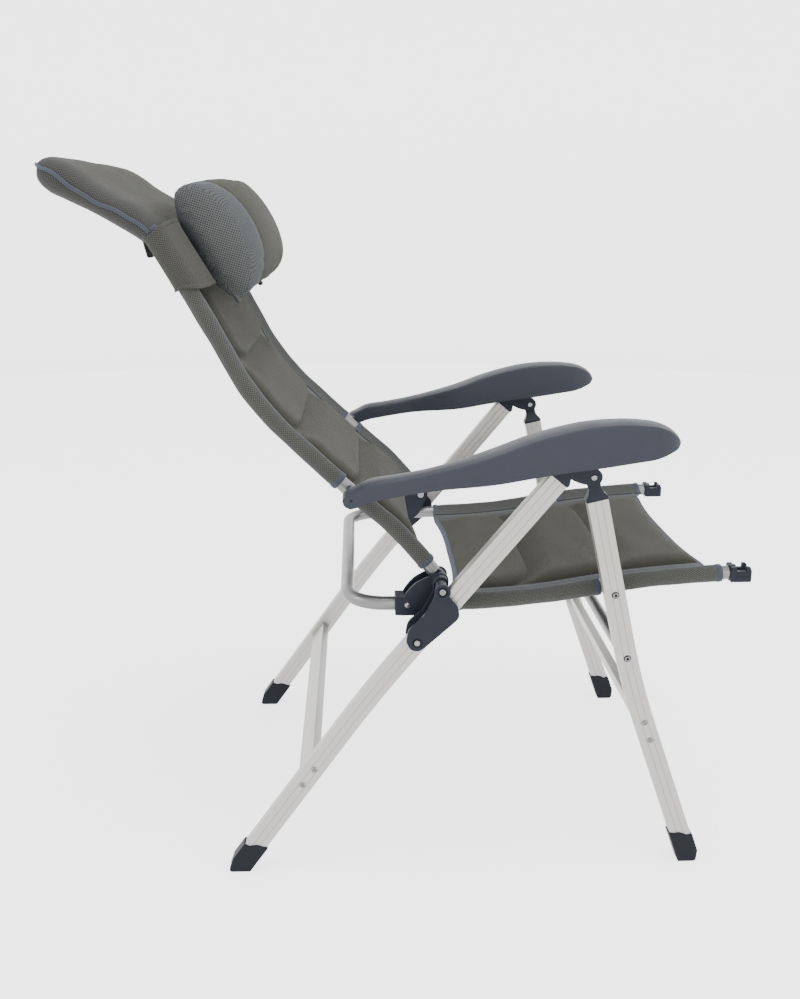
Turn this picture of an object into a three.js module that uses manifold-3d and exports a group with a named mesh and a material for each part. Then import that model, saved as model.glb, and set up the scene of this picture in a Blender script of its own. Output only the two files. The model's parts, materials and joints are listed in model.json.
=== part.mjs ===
// A high-backed, multi-position folding camp chair. Millimetres, +Z up, the sitter faces -Y,
// and the sitter's right hand is on the -X side. The floor is z = 0.
// Right-hand pieces are drawn in place and the left-hand ones are their mirror images.
import * as THREE from "three";
import { mergeVertices } from "three/addons/utils/BufferGeometryUtils.js";
import Module from "manifold-3d";

const wasm = await Module();
wasm.setup();

// ---------------------------------------------------------------- driving dimensions
const GAP = 0.3;                      // between pieces that touch
const LEG_X = 300;                    // middle of each leg, either side of the chair's middle
const LEG_FACE = 32;                  // leg profile, seen from the side
const LEG_THICK = 20;                 // leg profile, across the chair
const LEG_WALL = 1.6;
const TUBE_X = 255;                   // middle of the seat's and the back's side tubes
const TUBE_R = 11;
const TUBE_WALL = 1.5;
const SLEEVE_R = 13;                  // fabric sleeve round a side tube
const FLOOR = 0;

// Pivots, as (y, z) in the side view
const FRONT_PIVOT = [-266, 657];      // rear leg to front leg
const SEAT_PIVOT = [-308.5, 470];     // front leg to seat frame
const LINK_PIVOT = [-4, 400.5];       // rear leg to hinge link
const BACK_PIVOT = [-42, 483.5];      // hinge link, seat bracket and backrest together
const ARM_PIVOT = [94, 630];          // backrest to armrest

// Legs: the top end, the middle of the gentle bend and the lower end of each middle line
const REAR_TOP = [-214, 651.6];
const REAR_BEND = [66.5, 311];
const REAR_END = [277, 15.5];
const FRONT_TOP = [-274, 620];
const FRONT_BEND = [-343, 321];
const FRONT_END = [-451.8, 15.5];
const BEND_LENGTH = 75;               // straight line to straight line, each side of the bend
const LEG_STEPS = 10;

const SEAT_FRONT_Y = -500;            // where the seat's side tubes end
const SEAT_TUBE_Z = 441.5;            // low rear stretch of the seat's side tubes
const SEAT_REAR_Y = 103;              // cross stretch of the seat tube
const SEAT_CORNER_R = 62;
const BACK_CORNER_R = 75;

// ---------------------------------------------------------------- finishes
const finish = (color, roughness, metalness) =>
  new THREE.MeshStandardMaterial({ color, roughness, metalness });
const ALUMINIUM = finish(0xc9cacb, 0.38, 0.9);
const STEEL = finish(0xd6d7d8, 0.18, 1.0);
const GREY_PLASTIC = finish(0x4a4e58, 0.5, 0.0);
const ARM_PLASTIC = finish(0x5c5f67, 0.55, 0.0);
const FOOT_PLASTIC = finish(0x2f323b, 0.6, 0.0);
const MESH_FABRIC = finish(0x55554d, 0.9, 0.0);
const PAD_FABRIC = finish(0x6b6b62, 0.9, 0.0);

// ---------------------------------------------------------------- solids
const rad = THREE.MathUtils.degToRad;
const at = ([y, z], x) => new THREE.Vector3(x, y, z);

// The geometry of one closed body, as a solid that can be joined and cut.
function solid(geometry) {
  const bare = geometry.index ? geometry.toNonIndexed() : geometry.clone();
  const points = new THREE.BufferGeometry();
  points.setAttribute("position", bare.getAttribute("position"));
  const merged = mergeVertices(points, 1e-4);
  return new wasm.Manifold(new wasm.Mesh({
    numProp: 3,
    vertProperties: merged.attributes.position.array,
    triVerts: new Uint32Array(merged.index.array),
  }));
}

const join = (first, ...others) => others.reduce((sum, part) => sum.add(part), first);
const cut = (first, ...others) => others.reduce((rest, part) => rest.subtract(part), first);

// Side-view shapes are drawn with their x along Y and their y along Z, then run along X.
const SIDE_VIEW = new THREE.Matrix4().makeBasis(
  new THREE.Vector3(0, 1, 0),
  new THREE.Vector3(0, 0, 1),
  new THREE.Vector3(1, 0, 0),
);

function sidePlate(shape, x0, x1, curveSegments = 6) {
  const depth = x1 - x0;
  const geometry = new THREE.ExtrudeGeometry(shape, { depth, bevelEnabled: false, curveSegments });
  return solid(geometry.translate(0, 0, x0).applyMatrix4(SIDE_VIEW));
}

function outline(points) {
  return new THREE.Shape(points.map(([y, z]) => new THREE.Vector2(y, z)));
}

function disc([y, z], r) {
  return new THREE.Shape().absarc(y, z, r, 0, 2 * Math.PI, false);
}

function block(x0, x1, y0, y1, z0, z1) {
  const box = new THREE.BoxGeometry(x1 - x0, y1 - y0, z1 - z0);
  return solid(box.translate((x0 + x1) / 2, (y0 + y1) / 2, (z0 + z1) / 2));
}

// A block in a leaning frame: s runs along a direction in the side view, p square to it.
function leaningBlock(origin, direction, [s0, s1], [p0, p1], x0, x1) {
  const corner = (s, p) => [
    origin[0] + s * direction[0] - p * direction[1],
    origin[1] + s * direction[1] + p * direction[0],
  ];
  const shape = outline([corner(s0, p0), corner(s1, p0), corner(s1, p1), corner(s0, p1)]);
  return sidePlate(shape, x0, x1);
}

// A round bar across the chair.
function crossBar(pivot, r, x0, x1, sides = 10) {
  return sidePlate(disc(pivot, r), x0, x1, sides);
}

// A rivet or pin with a shallow domed head at each end: radius and position pairs, turned about X.
function pin([y, z], profile, sides = 10) {
  const points = profile.map(([r, x]) => new THREE.Vector2(r, x));
  const lathe = new THREE.LatheGeometry(points, sides);
  lathe.rotateZ(-Math.PI / 2);
  return solid(lathe.translate(0, y, z));
}

function rivet(pivot, r, headR, headX, tailX) {
  const dome = 1.6;
  return pin(pivot, [
    [0, headX],
    [headR * 0.6, headX + dome * 0.3],
    [headR, headX + dome],
    [r, headX + dome],
    [r, tailX - dome],
    [headR, tailX - dome],
    [headR * 0.6, tailX - dome * 0.3],
    [0, tailX],
  ]);
}

// A section run along a path. Section x runs towards -X and section y towards the path's outer side.
function sweep(section, path, steps) {
  return solid(new THREE.ExtrudeGeometry(section, { extrudePath: path, steps }));
}

// A round section with as many flats as asked, solid or with a plainer bore.
const TUBE_SIDES = 10;
const BORE_SIDES = 6;

function roundOutline(r, sides) {
  return Array.from({ length: sides }, (_, i) => {
    const angle = (2 * Math.PI * i) / sides;
    return new THREE.Vector2(r * Math.cos(angle), r * Math.sin(angle));
  });
}

function ring(outer, inner = 0, sides = TUBE_SIDES) {
  const shape = new THREE.Shape(roundOutline(outer, sides));
  if (inner > 0) shape.holes.push(new THREE.Path(roundOutline(inner, BORE_SIDES).reverse()));
  return shape;
}

function rectangle(width, height, inset) {
  const w = width / 2 - inset;
  const h = height / 2 - inset;
  return [[-w, -h], [w, -h], [w, h], [-w, h]].map(([x, y]) => new THREE.Vector2(x, y));
}

function towards(from, to) {
  const length = Math.hypot(to[0] - from[0], to[1] - from[1]);
  return [(to[0] - from[0]) / length, (to[1] - from[1]) / length];
}

function along(from, direction, distance) {
  return [from[0] + direction[0] * distance, from[1] + direction[1] * distance];
}

// ---------------------------------------------------------------- scene graph
const chair = new THREE.Group();

function add(name, body, material, mirrored = false) {
  const made = body.getMesh();
  const geometry = new THREE.BufferGeometry();
  geometry.setAttribute("position", new THREE.BufferAttribute(made.vertProperties, 3));
  geometry.setIndex(new THREE.BufferAttribute(made.triVerts, 1));
  geometry.computeVertexNormals();
  const mesh = new THREE.Mesh(geometry, material);
  mesh.name = name;
  if (mirrored) mesh.scale.x = -1;
  chair.add(mesh);
}

function addPair(name, body, material) {
  add(name + "_right", body, material);
  add(name + "_left", body, material, true);
}

// ---------------------------------------------------------------- legs, feet and crossbars
const legOuter = -LEG_X - LEG_THICK / 2;
const legInner = -LEG_X + LEG_THICK / 2;

// A hollow profile with two fine grooves along each wide face.
function legSection() {
  const half = LEG_THICK / 2;
  const groove = 0.7;
  const face = (x, sign) => [
    [x, sign * 6],
    [x - Math.sign(x) * groove, sign * 5.4],
    [x - Math.sign(x) * groove, sign * 4.6],
    [x, sign * 4],
  ];
  const h = LEG_FACE / 2;
  const edge = [
    [-half, -h], [half, -h],
    ...face(half, -1), ...face(half, 1).reverse(),
    [half, h], [-half, h],
    ...face(-half, 1), ...face(-half, -1).reverse(),
  ];
  const shape = new THREE.Shape(edge.map(([x, y]) => new THREE.Vector2(x, y)));
  shape.holes.push(new THREE.Path(rectangle(LEG_THICK, LEG_FACE, LEG_WALL)));
  return shape;
}

function legPath(top, bend, end) {
  const before = along(bend, towards(bend, top), BEND_LENGTH);
  const after = along(bend, towards(bend, end), BEND_LENGTH);
  const path = new THREE.CurvePath();
  path.add(new THREE.LineCurve3(at(top, -LEG_X), at(before, -LEG_X)));
  path.add(new THREE.QuadraticBezierCurve3(at(before, -LEG_X), at(bend, -LEG_X), at(after, -LEG_X)));
  path.add(new THREE.LineCurve3(at(after, -LEG_X), at(end, -LEG_X)));
  return path;
}

function leg(top, bend, end) {
  return sweep(legSection(), legPath(top, bend, end), LEG_STEPS);
}

const rearUp = towards(REAR_BEND, REAR_TOP);
const rearDown = towards(REAR_BEND, REAR_END);
const frontUp = towards(FRONT_BEND, FRONT_TOP);
const frontDown = towards(FRONT_BEND, FRONT_END);

// A boot over the leg's lower end: a flat sole, a rounded outer corner and a slanting top edge.
function foot(end, down, outward) {
  const wall = 2.2;
  const half = LEG_FACE / 2 + wall;
  const side = [down[1] * -outward, down[0] * outward];
  const place = (s, p) => [end[0] + s * down[0] + p * side[0], end[1] + s * down[1] + p * side[1]];
  const onFloor = (p) => {
    const start = place(0, p);
    return along(start, down, (FLOOR - start[1]) / down[1]);
  };
  const heelHigh = place(3, half);
  const soleOuter = onFloor(half);
  const shape = outline([place(-30, half), place(-46, -half), onFloor(-half)]);
  shape.lineTo(soleOuter[0] - outward * 12, FLOOR);
  shape.quadraticCurveTo(soleOuter[0] - outward * 1, FLOOR, heelHigh[0], heelHigh[1]);
  shape.closePath();
  const body = sidePlate(shape, legOuter - wall, legInner + wall, 5);
  const socket = leaningBlock(end, down, [-80, GAP], [-LEG_FACE / 2 - GAP, LEG_FACE / 2 + GAP],
    legOuter - GAP, legInner + GAP);
  return cut(body, socket);
}

// The rear leg is drilled for the hinge link's rivet.
const rearLeg = cut(leg(REAR_TOP, REAR_BEND, REAR_END),
  crossBar(LINK_PIVOT, 4 + GAP, legOuter - 5, legInner + 5));
const frontLeg = leg(FRONT_TOP, FRONT_BEND, FRONT_END);
addPair("rear_leg", rearLeg, ALUMINIUM);
addPair("rear_foot", foot(REAR_END, rearDown, 1), FOOT_PLASTIC);
addPair("front_leg", frontLeg, ALUMINIUM);
addPair("front_foot", foot(FRONT_END, frontDown, -1), FOOT_PLASTIC);

// Flat crossbars between the legs, with a pair of rivets through each leg's outer face.
const BAR_WIDE = 42;
const BAR_THICK = 15;
const BAR_RIVET_PITCH = 33;

function flatBar(middle, direction) {
  const reach = -legInner - GAP;
  const body = leaningBlock(middle, direction, [-BAR_WIDE / 2, BAR_WIDE / 2],
    [-BAR_THICK / 2, BAR_THICK / 2], -reach, reach);
  const hollow = leaningBlock(middle, direction, [-BAR_WIDE / 2 + LEG_WALL, BAR_WIDE / 2 - LEG_WALL],
    [-BAR_THICK / 2 + LEG_WALL, BAR_THICK / 2 - LEG_WALL], -reach - 1, reach + 1);
  return cut(body, hollow);
}

const REAR_BAR = along(REAR_BEND, rearDown, 174.5);
const FRONT_BAR = along(FRONT_BEND, frontDown, 88);
const ROUND_BAR = along(FRONT_BEND, frontUp, 44.8);
const ROUND_BAR_R = 10;
const BAR_RIVET_HEAD = 4.2;

// A shallow domed head lying on the outer face at x.
function domedHead(spot, x, r, height) {
  return pin(spot, [
    [0, x - height],
    [r * 0.7, x - height * 0.8],
    [r, x - GAP],
    [0, x - GAP],
  ]);
}

function barRivets(name, middle, direction) {
  [1, -1].forEach((side) => {
    const spot = along(middle, direction, side * BAR_RIVET_PITCH / 2);
    const head = domedHead(spot, legOuter, BAR_RIVET_HEAD, 2.2);
    addPair(name + (side > 0 ? "_lower" : "_upper"), head, STEEL);
  });
}

add("rear_crossbar", flatBar(REAR_BAR, rearDown), ALUMINIUM);
barRivets("rear_rivet", REAR_BAR, rearDown);
add("front_crossbar", flatBar(FRONT_BAR, frontDown), ALUMINIUM);
barRivets("front_rivet", FRONT_BAR, frontDown);

const roundReach = -legInner - GAP;
const roundBar = cut(
  crossBar(ROUND_BAR, ROUND_BAR_R, -roundReach, roundReach),
  crossBar(ROUND_BAR, ROUND_BAR_R - TUBE_WALL, -roundReach - 1, roundReach + 1),
);
add("front_round_bar", roundBar, ALUMINIUM);

// ---------------------------------------------------------------- top fittings and the front pivot
const EAR_R = 13;
const EAR_HALF = 12;                  // half the fitting's width across the chair
const KNUCKLE_HALF = 6.5;
const HEAD_TOP = along(REAR_TOP, rearUp, 24);

// Plugs the rear leg's top end, carries the armrest's rack and holds the front leg between two ears.
function rearTopFitting() {
  const neck = leaningBlock(REAR_TOP, rearUp, [GAP, 24], [-17, 17], -LEG_X - EAR_HALF, -LEG_X + EAR_HALF);
  const plug = leaningBlock(REAR_TOP, rearUp, [-28, 1], [-LEG_FACE / 2 + LEG_WALL + GAP,
    LEG_FACE / 2 - LEG_WALL - GAP], legOuter + LEG_WALL + GAP, legInner - LEG_WALL - GAP);
  const [py, pz] = FRONT_PIVOT;
  const web = outline([
    [py - 2, pz + EAR_R],
    [HEAD_TOP[0] - 2, HEAD_TOP[1] + 4],
    along(REAR_TOP, rearUp, 6),
    [REAR_TOP[0] - 16, REAR_TOP[1] + 3],
    [py + 6, pz - 11.4],
  ]);
  const ears = join(
    sidePlate(web, -LEG_X - EAR_HALF, -LEG_X + EAR_HALF),
    crossBar(FRONT_PIVOT, EAR_R, -LEG_X - EAR_HALF, -LEG_X + EAR_HALF, 10),
  );
  const slot = sidePlate(outline([
    [py - 30, pz - 40],
    [py + 28, pz - 40],
    [py + 20, pz + 14],
    [py + 8, pz + 20],
    [py - 30, pz + 20],
  ]), -LEG_X - KNUCKLE_HALF - GAP, -LEG_X + KNUCKLE_HALF + GAP);
  const bore = crossBar(FRONT_PIVOT, 4 + GAP, -LEG_X - 20, -LEG_X + 20);
  return cut(join(neck, plug, ears), slot, bore);
}

addPair("rear_top_fitting", rearTopFitting(), GREY_PLASTIC);

// Plugs the front leg's top end: a flared base, a narrow neck and a round knuckle.
function frontCap() {
  const flare = [0.3, 5, 12, 19];
  const half = [17, 16.5, 12, 10];
  const place = (s, p) => [
    FRONT_TOP[0] + s * frontUp[0] - p * frontUp[1],
    FRONT_TOP[1] + s * frontUp[1] + p * frontUp[0],
  ];
  const left = flare.map((s, i) => place(s, -half[i]));
  const right = flare.map((s, i) => place(s, half[i])).reverse();
  const [py, pz] = FRONT_PIVOT;
  const neck = outline([...left, [py + 9, pz - 6], [py - 9, pz - 6], ...right]);
  const base = outline([place(GAP, -17), place(6, -17), place(6, 17), place(GAP, 17)]);
  const plug = leaningBlock(FRONT_TOP, frontUp, [-28, 1], [-LEG_FACE / 2 + LEG_WALL + GAP,
    LEG_FACE / 2 - LEG_WALL - GAP], legOuter + LEG_WALL + GAP, legInner - LEG_WALL - GAP);
  const body = join(
    sidePlate(neck, -LEG_X - KNUCKLE_HALF, -LEG_X + KNUCKLE_HALF),
    sidePlate(base, -LEG_X - 11, -LEG_X + 11),
    crossBar(FRONT_PIVOT, EAR_R - 0.5, -LEG_X - KNUCKLE_HALF, -LEG_X + KNUCKLE_HALF, 10),
    plug,
  );
  return cut(body, crossBar(FRONT_PIVOT, 4 + GAP, -LEG_X - 20, -LEG_X + 20));
}

addPair("front_leg_cap", frontCap(), GREY_PLASTIC);
addPair("front_pivot_pin", rivet(FRONT_PIVOT, 4, 6, -LEG_X - EAR_HALF - 2 - GAP,
  -LEG_X + EAR_HALF + 2 + GAP), STEEL);

// ---------------------------------------------------------------- hinge links
const LINK_OUTER = -LEG_X - 21;
const LINK_INNER = -LEG_X + 17;
const PLATE = 5.5;
const BRACKET_OUTER = -TUBE_X - 17;
const BRACKET_INNER = -TUBE_X + 17;

// A boot-shaped plastic link: two cheeks that straddle the rear leg, joined at the back pivot.
function hingeLink() {
  const [hy, hz] = BACK_PIVOT;
  const [ly, lz] = LINK_PIVOT;
  const boot = new THREE.Shape();
  boot.moveTo(hy - 9, hz + 6);
  boot.quadraticCurveTo(hy - 11, hz - 12, hy - 20, hz - 25);
  boot.quadraticCurveTo(hy - 27, hz - 40, hy - 16, hz - 51);
  boot.lineTo(ly - 12, lz - 6);
  boot.quadraticCurveTo(ly - 2, lz - 14, ly + 8, lz - 7);
  boot.quadraticCurveTo(ly + 16, lz + 4, ly + 10, lz + 21);
  boot.quadraticCurveTo(hy + 24, hz - 34, hy + 11, hz - 4);
  boot.closePath();
  const cheeks = [
    sidePlate(boot, LINK_OUTER, LINK_OUTER + PLATE, 5),
    sidePlate(boot, LINK_INNER - PLATE, LINK_INNER, 5),
  ];
  const body = join(
    ...cheeks,
    crossBar(BACK_PIVOT, 11.5, LINK_OUTER - 1, LINK_OUTER + PLATE),
    crossBar(BACK_PIVOT, 9, LINK_OUTER + 1, LINK_INNER - 1),
    crossBar(BACK_PIVOT, 11.5, LINK_INNER - PLATE, BRACKET_OUTER - GAP),
  );
  return cut(body,
    crossBar(BACK_PIVOT, 4 + GAP, LINK_OUTER - 5, BRACKET_INNER),
    crossBar(LINK_PIVOT, 4 + GAP, LINK_OUTER - 5, LINK_INNER + 5));
}

addPair("hinge_link", hingeLink(), GREY_PLASTIC);
addPair("link_rivet", rivet(LINK_PIVOT, 4, 6, LINK_OUTER - 2 - GAP, LINK_INNER + 2 + GAP), STEEL);

// ---------------------------------------------------------------- seat frame
const SEAT_PROFILE = [
  [SEAT_FRONT_Y, 485.5], [-430, 481], [-360, 474.5], [-290, 464.5], [-220, 453.5],
  [-150, 446.5], [-80, 443], [-20, SEAT_TUBE_Z], [40, SEAT_TUBE_Z],
];

// One bent tube: a side, the rear cross stretch and the other side.
function seatPath() {
  const side = SEAT_PROFILE.map((spot) => at(spot, -TUBE_X));
  const corner = [];
  const bendY = SEAT_REAR_Y - SEAT_CORNER_R;
  [0, 30, 60, 90].forEach((angle) => {
    const x = -TUBE_X + SEAT_CORNER_R * (1 - Math.cos(rad(angle)));
    corner.push(new THREE.Vector3(x, bendY + SEAT_CORNER_R * Math.sin(rad(angle)), SEAT_TUBE_Z));
  });
  const half = [...side.slice(0, -1), ...corner];
  const middle = new THREE.Vector3(0, SEAT_REAR_Y, SEAT_TUBE_Z);
  const mirrored = half.map((p) => new THREE.Vector3(-p.x, p.y, p.z)).reverse();
  return new THREE.CatmullRomCurve3([...half, middle, ...mirrored], false, "centripetal");
}

const SEAT_STEPS = 40;
const seatCurve = seatPath();
add("seat_tube", sweep(ring(TUBE_R, TUBE_R - TUBE_WALL), seatCurve, SEAT_STEPS), ALUMINIUM);

// A socket clamped on the seat tube with two quarter-round plates that carry the back pivot.
function seatBracket() {
  const [hy, hz] = BACK_PIVOT;
  const plate = new THREE.Shape();
  plate.moveTo(hy - 12, hz);
  plate.absarc(hy, hz, 12.5, Math.PI, Math.PI * 0.42, true);
  plate.quadraticCurveTo(hy + 42, hz + 2, hy + 58, SEAT_TUBE_Z + 18);
  plate.lineTo(hy + 60, SEAT_TUBE_Z - 13.5);
  plate.lineTo(hy + 22, SEAT_TUBE_Z - 13.5);
  plate.quadraticCurveTo(hy - 2, hz - 34, hy - 12, hz);
  const plates = [
    sidePlate(plate, BRACKET_OUTER, BRACKET_OUTER + 4.5, 6),
    sidePlate(plate, BRACKET_INNER - 4.5, BRACKET_INNER, 6),
  ];
  const socket = block(BRACKET_OUTER + 1, BRACKET_INNER - 1, hy + 34, hy + 70,
    SEAT_TUBE_Z - 15, SEAT_TUBE_Z + 16);
  const tubePath = new THREE.LineCurve3(new THREE.Vector3(-TUBE_X, hy - 60, SEAT_TUBE_Z + 1.2),
    new THREE.Vector3(-TUBE_X, hy + 90, SEAT_TUBE_Z));
  const tube = sweep(ring(TUBE_R + 1.3), tubePath, 1);
  return cut(join(...plates, socket), tube,
    crossBar(BACK_PIVOT, 4 + GAP, BRACKET_OUTER - 5, BRACKET_INNER + 5));
}

addPair("seat_bracket", seatBracket(), GREY_PLASTIC);

const BRACKET_RIVET = [BACK_PIVOT[0] + 51, BACK_PIVOT[1] - 39.5];

addPair("bracket_rivet", domedHead(BRACKET_RIVET, BRACKET_OUTER, 4, 1.8), STEEL);

// A solid round plug that runs into a side tube from its open end.
function straightPlug(end, direction, r, length) {
  const path = new THREE.LineCurve3(
    at(along(end, direction, -1), -TUBE_X),
    at(along(end, direction, length), -TUBE_X),
  );
  return sweep(ring(r), path, 1);
}

const CLIP_LENGTH = 34;
const CLIP_GAP = 1.1;                 // the tube's end slopes, so its top edge leans out

// An open-topped snap clip at each front tube end, where a footrest hooks in.
function seatClip() {
  const [, z] = SEAT_PROFILE[0];
  const x = -TUBE_X;
  const front = SEAT_FRONT_Y - CLIP_LENGTH;
  const body = block(x - 13.5, x + 13.5, front, SEAT_FRONT_Y - CLIP_GAP, z - 14, z + 14);
  const notch = block(x - 20, x + 20, front + 9, front + 24, z + 5, z + 20);
  const slot = block(x - 7, x + 7, front - 1, front + 24, z - 4, z + 20);
  const plug = straightPlug([SEAT_FRONT_Y, z], towards(SEAT_PROFILE[0], SEAT_PROFILE[1]), 6, 15);
  return cut(join(body, plug), notch, slot);
}

addPair("seat_clip", seatClip(), GREY_PLASTIC);

// ---------------------------------------------------------------- fabric
// A band of even thickness along a side-view line.
function ribbon(line, above, below, x0, x1) {
  const curve = new THREE.CatmullRomCurve3(line.map((spot) => at(spot, 0)), false, "centripetal");
  const steps = (line.length - 1) * 2;
  const upper = [];
  const lower = [];
  for (let i = 0; i <= steps; i += 1) {
    const p = curve.getPoint(i / steps);
    const t = curve.getTangent(i / steps);
    upper.push([p.y - t.z * above, p.z + t.y * above]);
    lower.push([p.y + t.z * below, p.z - t.y * below]);
  }
  return sidePlate(outline([...upper, ...lower.reverse()]), x0, x1);
}

function sideTube(line, r, x, steps) {
  const curve = new THREE.CatmullRomCurve3(line.map((spot) => at(spot, x)), false, "centripetal");
  return sweep(ring(r), curve, steps);
}

// A sling: a flat web between the side tubes, joined to a sleeve round each tube.
function sling(line, webAbove, webBelow, steps) {
  const inner = TUBE_X - 6;
  const web = ribbon(line, webAbove, webBelow, -inner, inner);
  const sleeves = [-TUBE_X, TUBE_X].map((x) => sideTube(line, SLEEVE_R, x, steps));
  return join(web, ...sleeves);
}

const tubeBore = (curve, steps) => sweep(ring(TUBE_R + GAP), curve, steps);
const SEAT_CLOTH = SEAT_PROFILE.slice(0, 7).map(([y, z]) => [Math.max(y, -486), z]);

// Openings in both sleeves where a pivot comes through to the tube.
function sleeveOpenings([y, z], half) {
  return [-1, 1].map((side) => block(side * TUBE_X - 22, side * TUBE_X + 22,
    y - half, y + half, z - 40, z + 40));
}

const seatSling = cut(sling(SEAT_CLOTH, 9, 5, 12),
  tubeBore(seatCurve, SEAT_STEPS), ...sleeveOpenings(SEAT_PIVOT, 14));
add("seat_sling", seatSling, MESH_FABRIC);

// ---------------------------------------------------------------- backrest
const BACK_PROFILE = [
  [-33, 494.5], [-14.5, 517.5], [33, 570.5], [76, 608], [118, 646.5], [162, 688.8],
  [205, 731.3], [246, 783.5], [286, 857], [329, 935], [360, 987],
];
const HEAD_BEND = [[385, 1018], [420, 1042]];
const HEAD_CROSS = [505, 1082];
const HEAD_TIP_Y = 527.66;

function backPath() {
  const side = [...BACK_PROFILE, ...HEAD_BEND].map((spot) => at(spot, -TUBE_X));
  const lean = towards(HEAD_BEND[1], HEAD_CROSS);
  const corner = [0, 30, 60, 90].map((angle) => {
    const x = -TUBE_X + BACK_CORNER_R * (1 - Math.cos(rad(angle)));
    const back = BACK_CORNER_R * (1 - Math.sin(rad(angle)));
    return at(along(HEAD_CROSS, lean, -back), x);
  });
  const half = [...side, ...corner];
  const mirrored = half.map((p) => new THREE.Vector3(-p.x, p.y, p.z)).reverse();
  return new THREE.CatmullRomCurve3([...half, at(HEAD_CROSS, 0), ...mirrored], false, "centripetal");
}

const backCurve = backPath();
const BACK_STEPS = 54;
add("back_tube", sweep(ring(TUBE_R, TUBE_R - TUBE_WALL), backCurve, BACK_STEPS), ALUMINIUM);

// A flattened eye that plugs the back tube's lower end and turns on the back pivot.
function backEye() {
  const lean = towards(BACK_PROFILE[0], BACK_PROFILE[1]);
  const half = 9;
  const eye = crossBar(BACK_PIVOT, 11, -TUBE_X - half, -TUBE_X + half);
  const end = along(BACK_PROFILE[0], lean, -GAP);
  const web = leaningBlock(end, lean, [-14, 0], [-9, 9], -TUBE_X - half, -TUBE_X + half);
  const plug = straightPlug(end, lean, 7, 20);
  return cut(join(eye, web, plug), crossBar(BACK_PIVOT, 4 + GAP, -TUBE_X - 20, -TUBE_X + 20));
}

addPair("back_eye", backEye(), GREY_PLASTIC);
addPair("back_pivot_pin", rivet(BACK_PIVOT, 4, 5.5, LINK_OUTER - 3, BRACKET_INNER + 2), STEEL);

const backBore = tubeBore(backCurve, BACK_STEPS);
const BACK_CLOTH = [[-6, 527], ...BACK_PROFILE.slice(2)];
const backSling = cut(sling(BACK_CLOTH, 9, 5, 20), backBore, ...sleeveOpenings(ARM_PIVOT, 15));
add("back_sling", backSling, MESH_FABRIC);

// The padded top of the back, a pocket pulled over the tube's bent-back end.
const HEAD_LINE = [[375, 1009], [389, 1026], [418, 1050], [462, 1071], [505, 1091.5], [HEAD_TIP_Y, 1100.6]];
const headPad = join(
  ribbon(HEAD_LINE, 22, 17, -TUBE_X + 30, TUBE_X - 30),
  ribbon(HEAD_LINE, 14.5, 16, -TUBE_X - 14, TUBE_X + 14),
);
add("head_pad", cut(headPad, backBore), PAD_FABRIC);

// ---------------------------------------------------------------- armrests
const ARM_OUTER = -330;
const ARM_INNER = -272;
const LOBE_INNER = -288.5;
const LOBE_R = 13;
const ARM_WALL = 3;

const ARM_UNDER = [[74, 626], [30, 634.5], [-21, 642.5], [-125, 652.5], [-178, 661.5], [-219, 668],
  [-267, 674], [-330, 683.5], [-352, 686]];
const ARM_NOSE = [[-376, 696], [-391, 704], [-391.5, 714], [-379, 728], [-362, 737]];
const ARM_TOP = [[-334, 741], [-297, 742], [-253, 738], [-210, 729], [-166, 716], [-123, 700],
  [-60, 681], [-21, 671.5], [30, 662], [70, 655]];

// A hollow moulded shell, narrow at the back, wide and rounded at the front.
function armrest() {
  const profile = outline([...ARM_UNDER, ...ARM_NOSE, ...ARM_TOP].reverse());
  const side = sidePlate(profile, ARM_OUTER, ARM_INNER);
  const lobe = crossBar(ARM_PIVOT, LOBE_R, ARM_OUTER, LOBE_INNER, 10);
  const rear = outline([[70, 655], [88, 645], [99, 641], [90, 620], [74, 618]].reverse());
  const plan = new THREE.Shape();
  plan.moveTo(LOBE_INNER, 120);
  plan.lineTo(LOBE_INNER, -10);
  plan.quadraticCurveTo(ARM_INNER, -60, ARM_INNER, -140);
  plan.lineTo(ARM_INNER, -340);
  plan.quadraticCurveTo(ARM_INNER + 4, -392, (ARM_INNER + ARM_OUTER) / 2, -393);
  plan.quadraticCurveTo(ARM_OUTER - 4, -392, ARM_OUTER, -340);
  plan.lineTo(ARM_OUTER, 120);
  const column = new THREE.ExtrudeGeometry(plan, { depth: 300, bevelEnabled: false, curveSegments: 6 });
  const body = join(side, lobe, sidePlate(rear, ARM_OUTER, LOBE_INNER))
    .intersect(solid(column.translate(0, 0, 550)));
  return cut(body, armChannel(), crossBar(ARM_PIVOT, 4 + GAP, ARM_OUTER + 4, LOBE_INNER + 20));
}

// The long hollow under the armrest, open below, that the rear leg's top fitting slides in.
function armChannel() {
  const roof = ARM_TOP.slice(1, 8).map(([y, z]) => [y, z - 5]);
  const shape = outline([
    [-340, 640], [-340, 730], ...roof, [-10, 663], [-10, 620],
  ].reverse());
  return sidePlate(shape, ARM_OUTER + ARM_WALL, ARM_INNER - ARM_WALL);
}

addPair("armrest", armrest(), ARM_PLASTIC);

// The rack under the armrest's roof: seven shallow notches that the fitting's head drops into.
const RACK_NOTCHES = 7;
const RACK_PITCH = 15.6;

function armRack() {
  const start = [-246, 685];
  const run = towards(start, [-121, 669.5]);
  const high = 18;
  const length = RACK_PITCH * RACK_NOTCHES + 12;
  const bar = leaningBlock(start, run, [-6, length - 6], [0, high], -LEG_X - EAR_HALF, -LEG_X + EAR_HALF)
    .intersect(armRoom());
  const notches = Array.from({ length: RACK_NOTCHES }, (_, i) => crossBar(
    along(start, run, 6 + i * RACK_PITCH), 3.2, -LEG_X - 20, -LEG_X + 20, 6));
  return cut(bar, ...notches);
}

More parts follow.
